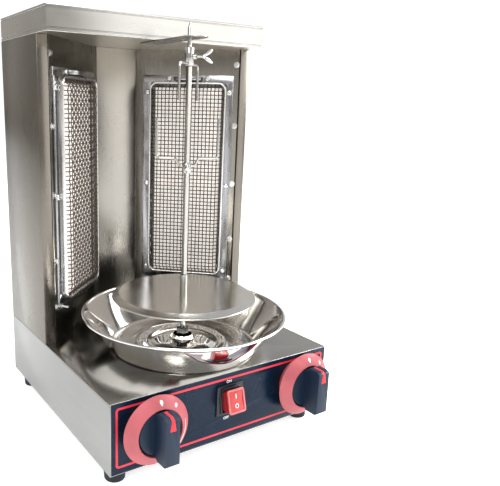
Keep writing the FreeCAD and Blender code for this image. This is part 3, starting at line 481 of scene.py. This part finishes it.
def make_weave_tree():
    """Plain-weave wire cloth, crowned in the middle and folded back round its edge."""
    tree, given, result = group_tree(
        "wire cloth", "GeometryNodeTree",
        {"Geometry": ("Geometry", None), "Width": ("Float", 0.1), "Height": ("Float", 0.27),
         "Pitch": ("Float", 0.005), "Wire Radius": ("Float", 0.0009), "Slope": ("Float", 0.006),
         "Proud": ("Float", 0.012), "Drop": ("Float", 0.006), "Material": ("Material", None)},
        {"Geometry": ("Geometry", None)})
    sets = []
    for across, length, breadth in ((0, "Width", "Height"), (1, "Height", "Width")):
        count = calc(tree, "FLOOR", calc(tree, "DIVIDE", given[breadth], given["Pitch"]))
        points = calc(tree, "MULTIPLY", calc(tree, "DIVIDE", given[length], given["Pitch"]), 4.0)
        run = {"X": given[length]} if across == 0 else {"Z": given[length]}
        step = {"Z": given["Pitch"]} if across == 0 else {"X": given["Pitch"]}
        end = add(tree, "ShaderNodeCombineXYZ", run)
        line = add(tree, "GeometryNodeCurvePrimitiveLine", {"End": end})
        fine = add(tree, "GeometryNodeResampleCurve", {"Curve": line, "Count": points})
        stack = add(tree, "GeometryNodeMeshLine", {"Count": calc(tree, "ADD", count, 1.0),
                                                   "Offset": add(tree, "ShaderNodeCombineXYZ", step)})
        copies = add(tree, "GeometryNodeInstanceOnPoints", {"Points": stack, "Instance": fine})
        wires = add(tree, "GeometryNodeRealizeInstances", {"Geometry": copies})
        place = add(tree, "ShaderNodeSeparateXYZ", {"Vector": add(tree, "GeometryNodeInputPosition")})
        x, z = place.outputs["X"], place.outputs["Z"]
        # distance from the nearest edge sets how far the cloth has folded back
        edge = calc(tree, "MINIMUM", calc(tree, "MINIMUM", x, calc(tree, "SUBTRACT", given["Width"], x)),
                    calc(tree, "MINIMUM", z, calc(tree, "SUBTRACT", given["Height"], z)))
        back = calc(tree, "SUBTRACT", given["Proud"], given["Drop"])
        swell = add(tree, "ShaderNodeMapRange", {"Value": edge, "From Max": given["Slope"], "To Min": back,
                                                 "To Max": given["Proud"]}, interpolation_type="SMOOTHSTEP")
        turns = [calc(tree, "MULTIPLY", calc(tree, "DIVIDE", along, given["Pitch"]), math.pi)
                 for along in (x, z)]
        beat = calc(tree, "MULTIPLY", *(calc(tree, "COSINE", turn) for turn in turns))
        over = calc(tree, "MULTIPLY", beat, calc(tree, "MULTIPLY", given["Wire Radius"], 0.95 - 1.9 * across))
        outward = add(tree, "ShaderNodeCombineXYZ",
                      {"Y": calc(tree, "MULTIPLY", calc(tree, "ADD", swell.outputs["Result"], over), -1.0)})
        moved = add(tree, "GeometryNodeSetPosition", {"Geometry": wires, "Offset": outward})
        ring = add(tree, "GeometryNodeCurvePrimitiveCircle",
                   {"Resolution": 6, "Radius": given["Wire Radius"]})
        sets.append(add(tree, "GeometryNodeCurveToMesh", {"Curve": moved, "Profile Curve": ring,
                                                          "Fill Caps": True}))
    join = add(tree, "GeometryNodeJoinGeometry")
    for part in sets:
        tree.links.new(part.outputs["Mesh"], join.inputs["Geometry"])
    return end_tree(tree, given, result, join)


def make_scatter_tree():
    """One fastener on every point of the mesh it is given."""
    tree, given, result = group_tree(
        "fasteners", "GeometryNodeTree",
        {"Geometry": ("Geometry", None), "Fastener": ("Object", None), "Seed": ("Int", 3),
         "Material": ("Material", None)},
        {"Geometry": ("Geometry", None)})
    shape = add(tree, "GeometryNodeObjectInfo", {"Object": given["Fastener"]})
    spin = add(tree, "FunctionNodeRandomValue", {2: 0.0, 3: math.tau, "Seed": given["Seed"]},
               data_type="FLOAT")
    turn = add(tree, "ShaderNodeCombineXYZ", {"Y": spin.outputs[1]})
    copies = add(tree, "GeometryNodeInstanceOnPoints",
                 {"Points": given["Geometry"], "Instance": shape.outputs["Geometry"], "Rotation": turn})
    return end_tree(tree, given, result, copies)


def make_wire_tree():
    """A round bar bent along the given polyline, its corners rounded."""
    tree, given, result = group_tree(
        "bent bar", "GeometryNodeTree",
        {"Geometry": ("Geometry", None), "Bar Radius": ("Float", 0.0015), "Bend": ("Float", 0.005),
         "Material": ("Material", None)},
        {"Geometry": ("Geometry", None)})
    line = add(tree, "GeometryNodeMeshToCurve", {"Mesh": given["Geometry"]})
    bent = add(tree, "GeometryNodeFilletCurve", {"Curve": line, "Radius": given["Bend"], "Count": 8},
               mode="POLY")
    ring = add(tree, "GeometryNodeCurvePrimitiveCircle", {"Resolution": 20, "Radius": given["Bar Radius"]})
    solid = add(tree, "GeometryNodeCurveToMesh", {"Curve": bent, "Profile Curve": ring, "Fill Caps": True})
    return end_tree(tree, given, result, solid)


WEAVE = make_weave_tree()
SCATTER = make_scatter_tree()
BENT_BAR = make_wire_tree()


def points_mesh(name, points, chained=False):
    """A mesh of bare points, or of points joined in a line."""
    mesh = bpy.data.meshes.new(name)
    mesh.from_pydata(points, [(index, index + 1) for index in range(len(points) - 1)] if chained else [], [])
    return mesh


def joined(name, items):
    """Merge finished meshes of one body into one piece."""
    build = bmesh.new()
    for item in items:
        build.from_mesh(item.data)
        bpy.data.objects.remove(item)
    mesh = bpy.data.meshes.new(name)
    build.to_mesh(mesh)
    build.free()
    return link_mesh(name, mesh)


def mirrored_copy(item, name):
    """The other hand of a piece, faces turned outwards again."""
    twin = link_mesh(name, item.data.copy())
    twin.data.transform(Matrix.Scale(-1, 4, (1, 0, 0)))
    twin.data.flip_normals()
    return twin


# ---------------------------------------------------------------- base and tower

def make_sheet_metal():
    """The folded sheets of base, tower and burners, edge widths in millimetres."""
    for node, width in {"base_shell": 0.5, "base_top": 0.45, "tower_left_side": 0.5, "tower_right_side": 0.5,
                        "tower_back": 0.3, "niche_back_panel": 0.4, "left_wing_panel": 0.3,
                        "right_wing_panel": 0.3, "spit_guide_plate": 0.4, "left_burner_bracket": 0.4,
                        "right_burner_bracket": 0.4, "control_panel": 0.2, "top_clips": 0.4}.items():
        softened(node, width)
    for node in ("left_mesh_frame", "right_mesh_frame"):
        softened(node, 1.0, segments=4, angle=50.0)


def make_seam_strips():
    """Hems that close the joint between the wings and the niche's centre strip from behind."""
    height = (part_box("niche_back_panel")[1].z - DECK_TOP) / MM
    start, end, front, back = -0.3, 3.0, 1.02, 1.6
    outline = [(start, front), (end, front), (end, back), (start, back)]
    place = wing_matrix(1) @ Matrix.Translation((0, 0, DECK_TOP))
    right = flat_shape("niche_hem_right", outline, height, place)
    left = mirrored_copy(right, "niche_hem_left")
    settle(joined("niche_hems", [right, left]), "niche_steel", body="housing", slot="brushed_steel")


def make_cap():
    """Lid with rounded upright corners and two pressed lines along its lip."""
    low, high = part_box("top_cover")
    corner, turns = 2.0 * MM, 5
    levels = [(1.3, 1.3), (0.0, 1.3), (0.0, 0.5), (0.5, 0.0), (3.0, 0.0), (3.4, 0.6), (4.2, 0.6), (4.6, 0.0)]
    top = [(23.8, 0.0), (24.2, 0.5), (24.9, 0.5), (25.3, 0.0), (27.0, 0.0), (27.5, 0.4), (27.6, 1.2)]
    loops = []
    for height, inset in levels + top:
        inset *= MM
        loop = []
        for quadrant, (side_x, side_y) in enumerate(((1, 1), (-1, 1), (-1, -1), (1, -1))):
            centre_x = (high.x if side_x > 0 else low.x) - side_x * corner
            centre_y = (high.y if side_y > 0 else low.y) - side_y * corner
            for step in range(turns + 1):
                angle = math.pi / 2 * (quadrant + step / turns)
                loop.append((centre_x + (corner - inset) * math.cos(angle),
                             centre_y + (corner - inset) * math.sin(angle), low.z + height * MM))
        loops.append(loop)
    settle(loft("lid", loops), "cap_steel", "top_cover")


def make_feet():
    """Four rubber feet with a hollow under each."""
    low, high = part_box("rubber_feet")
    radius = 12.5
    for index, (x, y) in enumerate(((-1, -1), (1, -1), (-1, 1), (1, 1))):
        centre = Vector(((high.x if x > 0 else low.x) - x * radius * MM,
                         (high.y if y > 0 else low.y) - y * radius * MM, 0))
        profile = [(5.0, 3.0), (5.0, 0.6)] + arc((9.6, 1.6), 1.6, 270, 360, 5)
        profile += arc((11.5, 18.0), 1.0, 0, 90, 4)
        profile += [(2.0, 19.0), (2.0, 3.0), (5.0, 3.0)]
        foot = lathe(f"foot_{index}", profile, centre, turns=48)
        settle(foot, "rubber", "rubber_feet")


# ---------------------------------------------------------------- front panel

def panel_matrix(x, z, proud=0.0):
    """Carries a flat mark drawn in XY to the front overlay."""
    return Matrix.Translation((x, FACE_Y - proud, z)) @ Matrix.Rotation(math.radians(90), 4, "X")


def rounded_loop(half_width, half_height, radius, steps=6):
    """A rectangle's outline with round corners."""
    points = []
    for quadrant, (x, y) in enumerate(((1, 1), (-1, 1), (-1, -1), (1, -1))):
        points += arc((x * (half_width - radius), y * (half_height - radius)), radius,
                      quadrant * 90, quadrant * 90 + 90, steps)
    return points


def frame_shape(name, half_width, half_height, radius, band, thickness, matrix):
    """A flat rounded frame."""
    outer = rounded_loop(half_width, half_height, radius)
    inner = rounded_loop(half_width - band, half_height - band, max(radius - band, 0.4))
    item = loft(name, [[(x * MM, y * MM, z * MM) for x, y in loop] for loop, z in (
        (outer, 0.0), (outer, thickness), (inner, thickness), (inner, 0.0))], ring_shaped=True)
    item.data.transform(matrix)
    return item


def lettering(name, body, size, matrix):
    """A word in the plain built-in face, as a thin raised mesh."""
    curve = bpy.data.curves.new(name, "FONT")
    curve.body = body
    curve.size = size * MM
    curve.align_x = "CENTER"
    curve.align_y = "CENTER"
    curve.extrude = 0.05 * MM
    curve.offset = 0.12 * MM
    item = bpy.data.objects.new(name + "_curve", curve)
    SCENE.collection.objects.link(item)
    bpy.context.view_layer.update()
    mesh = bpy.data.meshes.new_from_object(item.evaluated_get(bpy.context.evaluated_depsgraph_get()))
    bpy.data.objects.remove(item)
    mesh.transform(matrix)
    return link_mesh(name, mesh)


def make_panel_print():
    """The front overlay's red outline and the two words by the switch."""
    centre_z = (OVERLAY_LOW.z + OVERLAY_HIGH.z) / 2 + 1.0 * MM
    outline = frame_shape("panel_outline", 144.0, 34.0, 4.0, 2.6, 0.12, panel_matrix(0, centre_z))
    settle(outline, "outline_red", body="housing", slot="overlay")
    switch_low, switch_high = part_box("switch_housing")
    for name, word, x, z in (("word_on", "ON", -1.3, switch_high.z + 3.0 * MM),
                             ("word_off", "OFF", -3.5, switch_low.z - 4.6 * MM)):
        item = lettering(name, word, 4.6, panel_matrix(x * MM, z, 0.05 * MM))
        settle(item, "print_white", body="housing", slot="overlay")


# the bezel's slope runs between two (radius, height) corners, and its marks sit on one circle
BEZEL_EDGE, BEZEL_BORE = (38.5, 13.5), (25.8, 22.5)
MARK_RADIUS = 32
BEZEL_SLOPE = math.degrees(math.atan2(BEZEL_EDGE[0] - BEZEL_BORE[0], BEZEL_BORE[1] - BEZEL_EDGE[1]))


def bezel_height(radius):
    """Height of the bezel's sloping face at a radius, in millimetres from the wall."""
    share = (BEZEL_EDGE[0] - radius) / (BEZEL_EDGE[0] - BEZEL_BORE[0])
    return BEZEL_EDGE[1] + share * (BEZEL_BORE[1] - BEZEL_EDGE[1])


def bezel_mark(name, outline, side):
    """Print an outline given as (radius, clock angle in degrees) onto the bezel's slope."""
    build = bmesh.new()
    points = [Vector((radius * math.sin(math.radians(angle)), radius * math.cos(math.radians(angle)),
                      bezel_height(radius) + 0.02)) * MM for radius, angle in outline]
    face = build.faces.new([build.verts.new(point) for point in points])
    raised = bmesh.ops.extrude_face_region(build, geom=[face])
    lifted = [part for part in raised["geom"] if isinstance(part, bmesh.types.BMVert)]
    bmesh.ops.translate(build, verts=lifted, vec=(0, 0, 0.15 * MM))
    bmesh.ops.triangulate(build, faces=build.faces)
    item = from_bmesh(name, build)
    item.data.transform(knob_matrix(side))
    return item


def polar(radius, angle, across, out):
    """A point beside a place on the bezel: across along the ring, out from its centre."""
    return radius + out, angle + math.degrees(across / radius)


def make_bezel(side, label):
    """A knob's conical bezel with its printed flame, spark and wedge."""
    node = label + "_knob_bezel"
    profile = [(25.8, 0.8), (27.8, 0.8), (27.8, 18.5)]
    profile += arc((37.5, 12.9), 1.0, BEZEL_SLOPE - 180, BEZEL_SLOPE, 8)
    profile += arc((26.5, 21.2), 0.7, BEZEL_SLOPE, 180, 6) + [(25.8, 0.8)]
    ring = lathe(label + "_bezel_ring", profile, None, turns=96, axis=knob_matrix(side))
    settle(ring, "bezel_red", node)
    flame = [polar(MARK_RADIUS, 4, 1.7 * math.sin(t) * (1.0 - 0.35 * math.cos(t)), 2.5 * -math.cos(t))
             for t in (step * math.tau / 18 for step in range(18))]
    marks = [bezel_mark(label + "_flame", flame, side)]
    star = []
    for step in range(16):
        reach = 2.8 if step % 2 == 0 else 1.0
        angle = step * math.tau / 16
        star.append(polar(MARK_RADIUS, 38, reach * math.sin(angle), reach * math.cos(angle)))
    marks.append(bezel_mark(label + "_spark", star, side))
    middle, tip, swell, first, sweep, steps = 32.3, 0.2, 1.3, 78, 60, 12
    wedge = [(middle + tip + swell * step / steps, first + sweep * step / steps) for step in range(steps + 1)]
    wedge += [(middle - tip - swell * step / steps, first + sweep * step / steps)
              for step in reversed(range(steps + 1))]
    marks.append(bezel_mark(label + "_wedge", wedge, side))
    print_ring = joined(label + "_bezel_marks", marks)
    settle(print_ring, "print_white", body="housing", slot="bezel_red")


def make_knobs():
    """Both knobs, their pointers and their bezels."""
    for side, label in ((-1, "left"), (1, "right")):
        make_bezel(side, label)
        softened(label + "_knob", 1.3, segments=3)
        softened(label + "_knob_pointer", 0.3)


ROCKER_PIVOT = 3 * MM
ROCKER_TILT = 14.5


def rocker_face(height, depth):
    """Carries a flat mark drawn in XY to the tipped rocker's face."""
    low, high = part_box("switch_housing")
    pivot = Vector((0, BASE_LOW.y - ROCKER_PIVOT, (low.z + high.z) / 2))
    return (Matrix.Translation(pivot) @ Matrix.Rotation(math.radians(-ROCKER_TILT), 4, "X")
            @ Matrix.Translation((0, -depth * MM, height * MM)) @ Matrix.Rotation(math.radians(90), 4, "X"))


def make_switch():
    """Housing, button, the clear moulded rim round the button and its two marks."""
    softened("switch_housing", 1.2, segments=3)
    softened("switch_rocker", 1.5, segments=4)
    rim = frame_shape("rocker_rim", 11.8, 13.8, 3.0, 2.5, 2.4, rocker_face(0, 9.7))
    widen = rim.modifiers.new("round", "BEVEL")
    widen.width, widen.segments, widen.limit_method = 0.7 * MM, 3, "ANGLE"
    applied(rim)
    settle(rim, "rocker_rim", body="rocker", slot="rocker_red", angle=60.0)
    bar = flat_shape("rocker_bar", [(-0.6, -2.6), (0.6, -2.6), (0.6, 2.6), (-0.6, 2.6)], 0.3,
                     rocker_face(5.4, 11.0))
    ring = frame_shape("rocker_ring", 2.4, 2.6, 2.3, 0.8, 0.3, rocker_face(-5.4, 11.0))
    settle(joined("rocker_marks", [bar, ring]), "print_white", body="rocker", slot="rocker_red")


# ---------------------------------------------------------------- burners

def make_wire_cloth():
    """Woven wire cloth in front of each burner plaque."""
    near, far, low, high = 24.6, 126.4, 152.6, 418.9
    for side, label in ((-1, "left"), (1, "right")):
        values = {"Width": (far - near) * MM, "Height": (high - low) * MM, "Pitch": 5.25 * MM,
                  "Wire Radius": 0.66 * MM, "Slope": 10.0 * MM, "Proud": 12.6 * MM, "Drop": 7.0 * MM,
                  "Material": MATERIALS["wire"]}
        cloth = with_tree(label + "_wire_cloth", WEAVE, points_mesh("cloth", [(0, 0, 0)]), values)
        cloth.data.transform(wing_matrix(side) @ Matrix.Translation((near * MM, 0, low * MM)))
        if side < 0:
            cloth.data.flip_normals()
        settle(cloth, "wire", label + "_wire_mesh", angle=80.0)


FASTENER_STEPS = 24


def fastener_mesh(name, radius, height, sides, slot_width):
    """A screw or bolt head drawn along -Y, domed or hexagonal, with a cross cut in a round one."""
    around = FASTENER_STEPS
    if sides == 6:
        levels = [(1.35, 0.0), (1.35, 0.12), (0.98, 0.14), (0.98, 0.86), (0.86, 1.0)]
    else:
        levels = [(1.0, 0.0), (1.0, 0.25), (0.92, 0.62), (0.7, 0.88), (0.35, 1.0)]
    loops = []
    for scale, depth in levels:
        loop = []
        for step in range(around):
            angle = step * math.tau / around
            reach = radius * scale
            if sides == 6 and scale < 1.2:
                reach *= math.cos(math.pi / 6) / math.cos((angle % (math.pi / 3)) - math.pi / 6)
            loop.append((reach * MM * math.cos(angle), -height * depth * MM, reach * MM * math.sin(angle)))
        loops.append(loop)
    head = loft(name, loops)
    if slot_width:
        for turn in (0, 90):
            cutter = bmesh.new()
            bmesh.ops.create_cube(cutter, size=1.0)
            size = Vector((radius * 1.25, height * 1.3, slot_width)) * MM
            bmesh.ops.scale(cutter, vec=size, verts=cutter.verts)
            bmesh.ops.translate(cutter, vec=(0, -height * MM, 0), verts=cutter.verts)
            bmesh.ops.rotate(cutter, verts=cutter.verts, cent=(0, 0, 0),
                             matrix=Matrix.Rotation(math.radians(turn), 3, "Y"))
            tool = from_bmesh("cross_cutter", cutter)
            carve = head.modifiers.new("cross", "BOOLEAN")
            carve.object = tool
            carve.operation = "DIFFERENCE"
            carve.solver = "EXACT"
            applied(head)
            bpy.data.objects.remove(tool)
    return head


def make_screws():
    """Cross-head screws of the burners and hexagon heads along the wings' front edges."""
    round_head = fastener_mesh("round_head", 3.8, 2.4, 0, 1.1)
    hexagon_head = fastener_mesh("hexagon_head", 3.0, 2.8, 6, 0)
    burner_spots = [(s, -1.2, z) for s in (17.5, 132.6) for z in (155, 280, 408)]
    burner_spots += [(48.5, -1.2, 426.5), (101.7, -1.2, 426.5)]
    edge_spots = [(141.3, 0.0, z) for z in (144.6, 203, 283.5, 364, 445)]
    for node, head, spots in (("burner_screws", round_head, burner_spots),
                              ("edge_screws", hexagon_head, edge_spots)):
        points = [tuple(value * MM for value in spot) for spot in spots]
        values = {"Fastener": head, "Seed": 5, "Material": MATERIALS["zinc"]}
        right = with_tree(node + "_right", SCATTER, points_mesh("spots", points), values)
        right.data.transform(wing_matrix(1))
        left = mirrored_copy(right, node + "_left")
        for item in (right, left):
            settle(item, "zinc", node)
    for item in (round_head, hexagon_head):
        bpy.data.objects.remove(item)


# ---------------------------------------------------------------- spit and pan

def make_pan():
    """Drip pan: one wall drawn as a smooth line, given its thickness and a rolled rim."""
    floor, gauge = DECK_TOP / MM + 0.5, 0.5
    line = [(12.0, 113.0), (12.3, 110.5), (13.6, 108.2), (16.5, 107.1), (24.0, 106.4), (31.0, 105.8),
            (36.5, 104.6), (41.0, 103.2), (45.5, 102.6), (50.0, 103.6), (54.5, 104.5), (58.5, 103.6),
            (62.5, 101.5), (66.0, floor)]
    line += [(84.0, floor)] + arc((86.5, floor + 6.5), 6.5, -80, -34, 6)
    line += [(106.0, 121.0), (115.5, 133.6), (120.0, 139.6)]
    curve = smooth_line(line, 4)
    inner, outer = offset_line(curve, gauge), offset_line(curve, -gauge)
    rim = arc((123.6, 143.0), 1.7, 200, -110, 14)
    profile = inner + rim + list(reversed(outer)) + [inner[0]]
    settle(lathe("pan_shell", profile, SPIT, turns=180), "polished_steel", "drip_pan", angle=50.0)


def smooth_line(points, steps):
    """A Catmull-Rom line through the corners."""
    result = []
    padded = [points[0]] + points + [points[-1]]
    for before, start, end, after in zip(padded, padded[1:], padded[2:], padded[3:]):
        for step in range(steps):
            t = step / steps
            result.append(tuple(0.5 * (2 * start[k] + (end[k] - before[k]) * t
                                       + (2 * before[k] - 5 * start[k] + 4 * end[k] - after[k]) * t * t
                                       + (3 * start[k] - before[k] - 3 * end[k] + after[k]) * t ** 3)
                                for k in (0, 1)))
    result.append(points[-1])
    return result


def offset_line(points, distance):
    """The line moved sideways, to the left of its own direction."""
    moved = []
    for index, (x, y) in enumerate(points):
        before = points[max(index - 1, 0)]
        after = points[min(index + 1, len(points) - 1)]
        run, rise = after[0] - before[0], after[1] - before[1]
        length = math.hypot(run, rise) or 1.0
        moved.append((x - rise / length * distance, y + run / length * distance))
    return moved


def make_disc():
    """Carving disc: flat top, sloping rim band and a turned-down edge."""
    top = DISC_HIGH.z / MM
    edge = (DISC_HIGH.x - DISC_LOW.x) / 2 / MM
    profile = [(3.0, top - 1.5), (3.0, top), (edge - 9.0, top)] + arc((edge - 9.0, top - 1.5), 1.5, 90, 64, 3)
    profile += [(edge - 1.2, top - 3.9)] + arc((edge - 1.0, top - 4.9), 1.0, 60, -60, 6)
    profile += [(edge - 1.6, top - 5.4), (edge - 9.0, top - 1.6), (3.0, top - 1.5)]
    settle(lathe("disc_plate", profile, SPIT, turns=160), "disc_steel", "carving_disc", angle=25.0)
    sleeve = [(3.5, top), (4.4, top), (4.4, top + 21.0)] + arc((3.9, top + 21.4), 0.5, 0, 90, 4)
    sleeve += [(3.5, top + 21.9), (3.5, top)]
    settle(lathe("sleeve_tube", sleeve, SPIT, turns=48), "spit_steel", "disc_sleeve")


def fork_matrix(joint):
    """Carries a fork drawn in XZ, its clamp screw along -Y, to its place on the bar."""
    facts = next(item for item in frame["joints"] if item["name"] == joint)
    outward = Vector(facts["axis"])
    turn = math.atan2(outward.x, -outward.y)
    return Matrix.Translation(facts["pos_m"]) @ Matrix.Rotation(turn, 4, "Z")


def make_fork(label, corners, height):
    """Two bent prongs on a collar with a screw boss."""
    matrix = fork_matrix(label + "_screw_turn")
    halves = []
    for index, corner_list in enumerate(corners):
        points = [(x * MM, 0.0, z * MM) for x, z in corner_list]
        values = {"Bar Radius": 1.5 * MM, "Bend": 5.0 * MM, "Material": MATERIALS["spit_steel"]}
        path = points_mesh("prong", points, True)
        halves.append(with_tree(f"{label}_prong_{index}", BENT_BAR, path, values))
    collar = [(3.5, -height / 2 + 0.3), (3.8, -height / 2), (4.9, -height / 2)]
    collar += [(5.2, -height / 2 + 0.4), (5.2, height / 2 - 0.4), (4.9, height / 2), (3.8, height / 2),
               (3.5, height / 2 - 0.3), (3.5, -height / 2 + 0.3)]
    halves.append(lathe(label + "_collar", collar, None, turns=40, axis=Matrix.Identity(4)))
    boss = [(1.85, 4.6), (1.85, 8.2), (2.1, 8.4), (3.1, 8.4), (3.4, 8.0), (3.4, 4.6), (1.85, 4.6)]
    outward = Matrix.Rotation(math.radians(90), 4, "X")
    halves.append(lathe(label + "_boss", boss, None, turns=32, axis=outward))
    item = joined(label + "_fork_bar", halves)
    item.data.transform(matrix)
    settle(item, "spit_steel", label + "_fork", angle=45.0)


def make_wing_screw(label):
    """Clamp screw with two rounded ears."""
    matrix = fork_matrix(label + "_screw_turn")
    lay = Matrix.Rotation(math.radians(90), 4, "X")
    shank = [(0.0, 3.6), (1.3, 3.6), (1.6, 3.9), (1.6, 15.3), (2.1, 15.6), (2.4, 16.2), (2.4, 18.2),
             (1.8, 18.9), (0.0, 19.0)]
    parts = [lathe(label + "_shank", shank, None, turns=28, axis=lay)]
    for side in (-1, 1):
        build = bmesh.new()
        bmesh.ops.create_uvsphere(build, u_segments=20, v_segments=12, radius=1.0)
        bmesh.ops.scale(build, vec=Vector((0.85, 6.3, 2.0)) * MM, verts=build.verts)
        bmesh.ops.translate(build, vec=(0, -6.0 * MM, 0), verts=build.verts)
        bmesh.ops.rotate(build, verts=build.verts, cent=(0, 0, 0),
                         matrix=Matrix.Rotation(-side * math.radians(33), 3, "X"))
        bmesh.ops.translate(build, vec=(0, -17.0 * MM, side * 0.6 * MM), verts=build.verts)
        parts.append(from_bmesh(f"{label}_ear_{side}", build))
    item = joined(label + "_thumb_screw", parts)
    item.data.transform(matrix)
    settle(item, "zinc", label + "_wing_screw", angle=50.0)


def make_forks():
    """The lower and upper fork and their clamp screws."""
    half = 35.5
    make_fork("lower", [[(side * half, 57), (side * half, 11), (side * 13, 11), (side * 9, 2), (side * 4, 2)]
                        for side in (-1, 1)], 12)
    make_fork("upper", [[(side * half, -48), (side * half, -8), (side * 4, -8)] for side in (-1, 1)], 20)
    for label in ("lower", "upper"):
        make_wing_screw(label)


def make_spit():
    """Pan, disc, forks, spit rod and coupling."""
    make_pan()
    make_disc()
    make_forks()
    softened("spit_rod", 0.35)
    softened("drive_coupling", 0.5)


# ---------------------------------------------------------------- rear fittings

def make_rear_fittings():
    """Threaded gas nipple and ribbed cord gland."""
    low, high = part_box("gas_inlet_fitting")
    lay = Matrix.Translation(((low.x + high.x) / 2, low.y, (low.z + high.z) / 2)) @ Matrix.Rotation(
        math.radians(-90), 4, "X")
    length = (high.y - low.y) / MM
    profile = [(4.0, 1.0), (7.2, 1.0), (7.2, 7.5)]
    for turn in range(9):
        start = 7.8 + turn * 1.45
        profile += [(7.2, start), (7.95, start + 0.5), (7.95, start + 0.75), (7.2, start + 1.25)]
    profile += [(7.2, length - 0.9), (6.6, length), (4.4, length), (4.0, length - 0.5), (4.0, 1.0)]
    nipple = lathe("inlet_thread", profile, None, turns=48, axis=lay)
    corners = [step * math.pi / 3 for step in range(6)]
    wrench = loft("inlet_wrench", [
        [(radius * MM * math.cos(angle), radius * MM * math.sin(angle), depth * MM) for angle in corners]
        for radius, depth in ((11.0, 0.0), (12.0, 0.6), (12.0, 5.4), (11.0, 6.0))])
    wrench.data.transform(lay)
    item = joined("inlet_fitting", [nipple, wrench])
    settle(item, "brass", "gas_inlet_fitting")
    softened("cord_gland", 0.6)


def finish_inner_parts():
    """Pieces that keep their CAD shape still get the full finish of their material."""
    replaced = {"rubber_feet", "drip_pan", "carving_disc", "disc_sleeve"}
    for node, item in NODES.items():
        if node in replaced:
            continue
        item.data.materials.clear()
        item.data.materials.append(MATERIALS[finish_of(node)])


# ---------------------------------------------------------------- studio

FLOOR_REACH = 12.0
LIGHTS = {
    # place, aim, size in metres, power in watts
    "key": ((-1.5, -1.7, 1.9), (0, 0, 0.2), 1.2, 34.0),
    "side": ((1.9, -0.5, 1.2), (0.1, 0, 0.25), 1.0, 34.0),
    "top": ((0.1, -0.2, 2.4), (0, 0, 0), 1.4, 36.0),
    "front": ((1.7, -2.3, 1.0), (0, 0, 0.25), 2.0, 18.0),
}
SURROUND = ((0.0, (0.50, 0.47, 0.44)), (0.48, (0.24, 0.21, 0.18)), (0.53, (0.74, 0.70, 0.64)),
            (0.72, (0.85, 0.86, 0.88)), (1.0, (0.55, 0.57, 0.60)))
CAMERA_PLACE = (-0.388, -0.6224, 0.3904)
CAMERA_YAW, CAMERA_PITCH, CAMERA_ROLL = (math.radians(angle) for angle in (32.41, 13.11, 1.10))


def make_floor():
    """A plain pale floor that goes on past the view."""
    mesh = bpy.data.meshes.new("studio_floor")
    reach = FLOOR_REACH
    corners = [(-reach, -reach, 0), (reach, -reach, 0), (reach, reach, 0), (-reach, reach, 0)]
    mesh.from_pydata(corners, [], [(0, 1, 2, 3)])
    floor = link_mesh("studio_floor", mesh)
    material, tree, shader = new_material("floor", 0.0, 0.7)
    shader.inputs["Base Color"].default_value = (0.80, 0.80, 0.80, 1.0)
    shader.inputs["Emission Color"].default_value = (1.0, 1.0, 1.0, 1.0)
    shader.inputs["Emission Strength"].default_value = 0.56
    mesh.materials.append(material)


def make_surround():
    """A pale background to the camera and a banded one to the steel."""
    world = bpy.data.worlds.new("surround")
    SCENE.world = world
    world.use_nodes = True
    tree = world.node_tree
    tree.nodes.clear()
    path = add(tree, "ShaderNodeLightPath")
    ways = add(tree, "ShaderNodeTexCoord").outputs["Generated"]
    slope = add(tree, "ShaderNodeSeparateXYZ", {"Vector": ways}).outputs["Z"]
    ramp = add(tree, "ShaderNodeValToRGB",
               {"Fac": calc(tree, "ADD", calc(tree, "MULTIPLY", slope, 0.5), 0.5)})
    while len(ramp.color_ramp.elements) < len(SURROUND):
        ramp.color_ramp.elements.new(0.5)
    for element, (position, colour) in zip(ramp.color_ramp.elements, SURROUND):
        element.position = position
        element.color = (*colour, 1.0)
    seen = add(tree, "ShaderNodeBackground", {"Color": (1.0, 1.0, 1.0, 1.0), "Strength": 1.0})
    felt = add(tree, "ShaderNodeBackground", {"Color": ramp, "Strength": 0.8})
    mix = add(tree, "ShaderNodeMixShader", {0: path.outputs["Is Camera Ray"], 1: felt, 2: seen})
    add(tree, "ShaderNodeOutputWorld", {"Surface": mix})


def make_lights():
    """Square soft lights, each turned to its aim."""
    for name, (place, aim, size, power) in LIGHTS.items():
        light = bpy.data.lights.new(name, "AREA")
        light.size = size
        light.energy = power
        lamp = bpy.data.objects.new(name, light)
        lamp.location = place
        lamp.rotation_euler = (Vector(aim) - Vector(place)).to_track_quat("-Z", "Y").to_euler()
        SCENE.collection.objects.link(lamp)


def make_camera():
    """The main camera and how its picture is toned."""
    yaw, pitch, roll = CAMERA_YAW, CAMERA_PITCH, CAMERA_ROLL
    forward = Vector((math.sin(yaw) * math.cos(pitch), math.cos(yaw) * math.cos(pitch), -math.sin(pitch)))
    level = Vector((math.cos(yaw), -math.sin(yaw), 0))
    upright = level.cross(forward)
    right = level * math.cos(roll) + upright * math.sin(roll)
    up = upright * math.cos(roll) - level * math.sin(roll)
    lens = bpy.data.cameras.new("camera")
    lens.sensor_width = 36.0
    lens.lens = 42.62
    lens.shift_x = 0.16
    camera = bpy.data.objects.new("camera", lens)
    aim = Matrix((right, up, -forward)).transposed().to_4x4()
    camera.matrix_world = Matrix.Translation(CAMERA_PLACE) @ aim
    SCENE.collection.objects.link(camera)
    SCENE.camera = camera
    SCENE.view_settings.view_transform = "Standard"
    SCENE.view_settings.gamma = 0.82
    SCENE.view_settings.exposure = 0.12


make_floor()
make_surround()
make_lights()
make_camera()
finish_inner_parts()
make_sheet_metal()
make_seam_strips()
make_cap()
make_feet()
make_panel_print()
make_knobs()
make_switch()
make_wire_cloth()
make_screws()
make_spit()
make_rear_fittings()

bpy.context.view_layer.update()
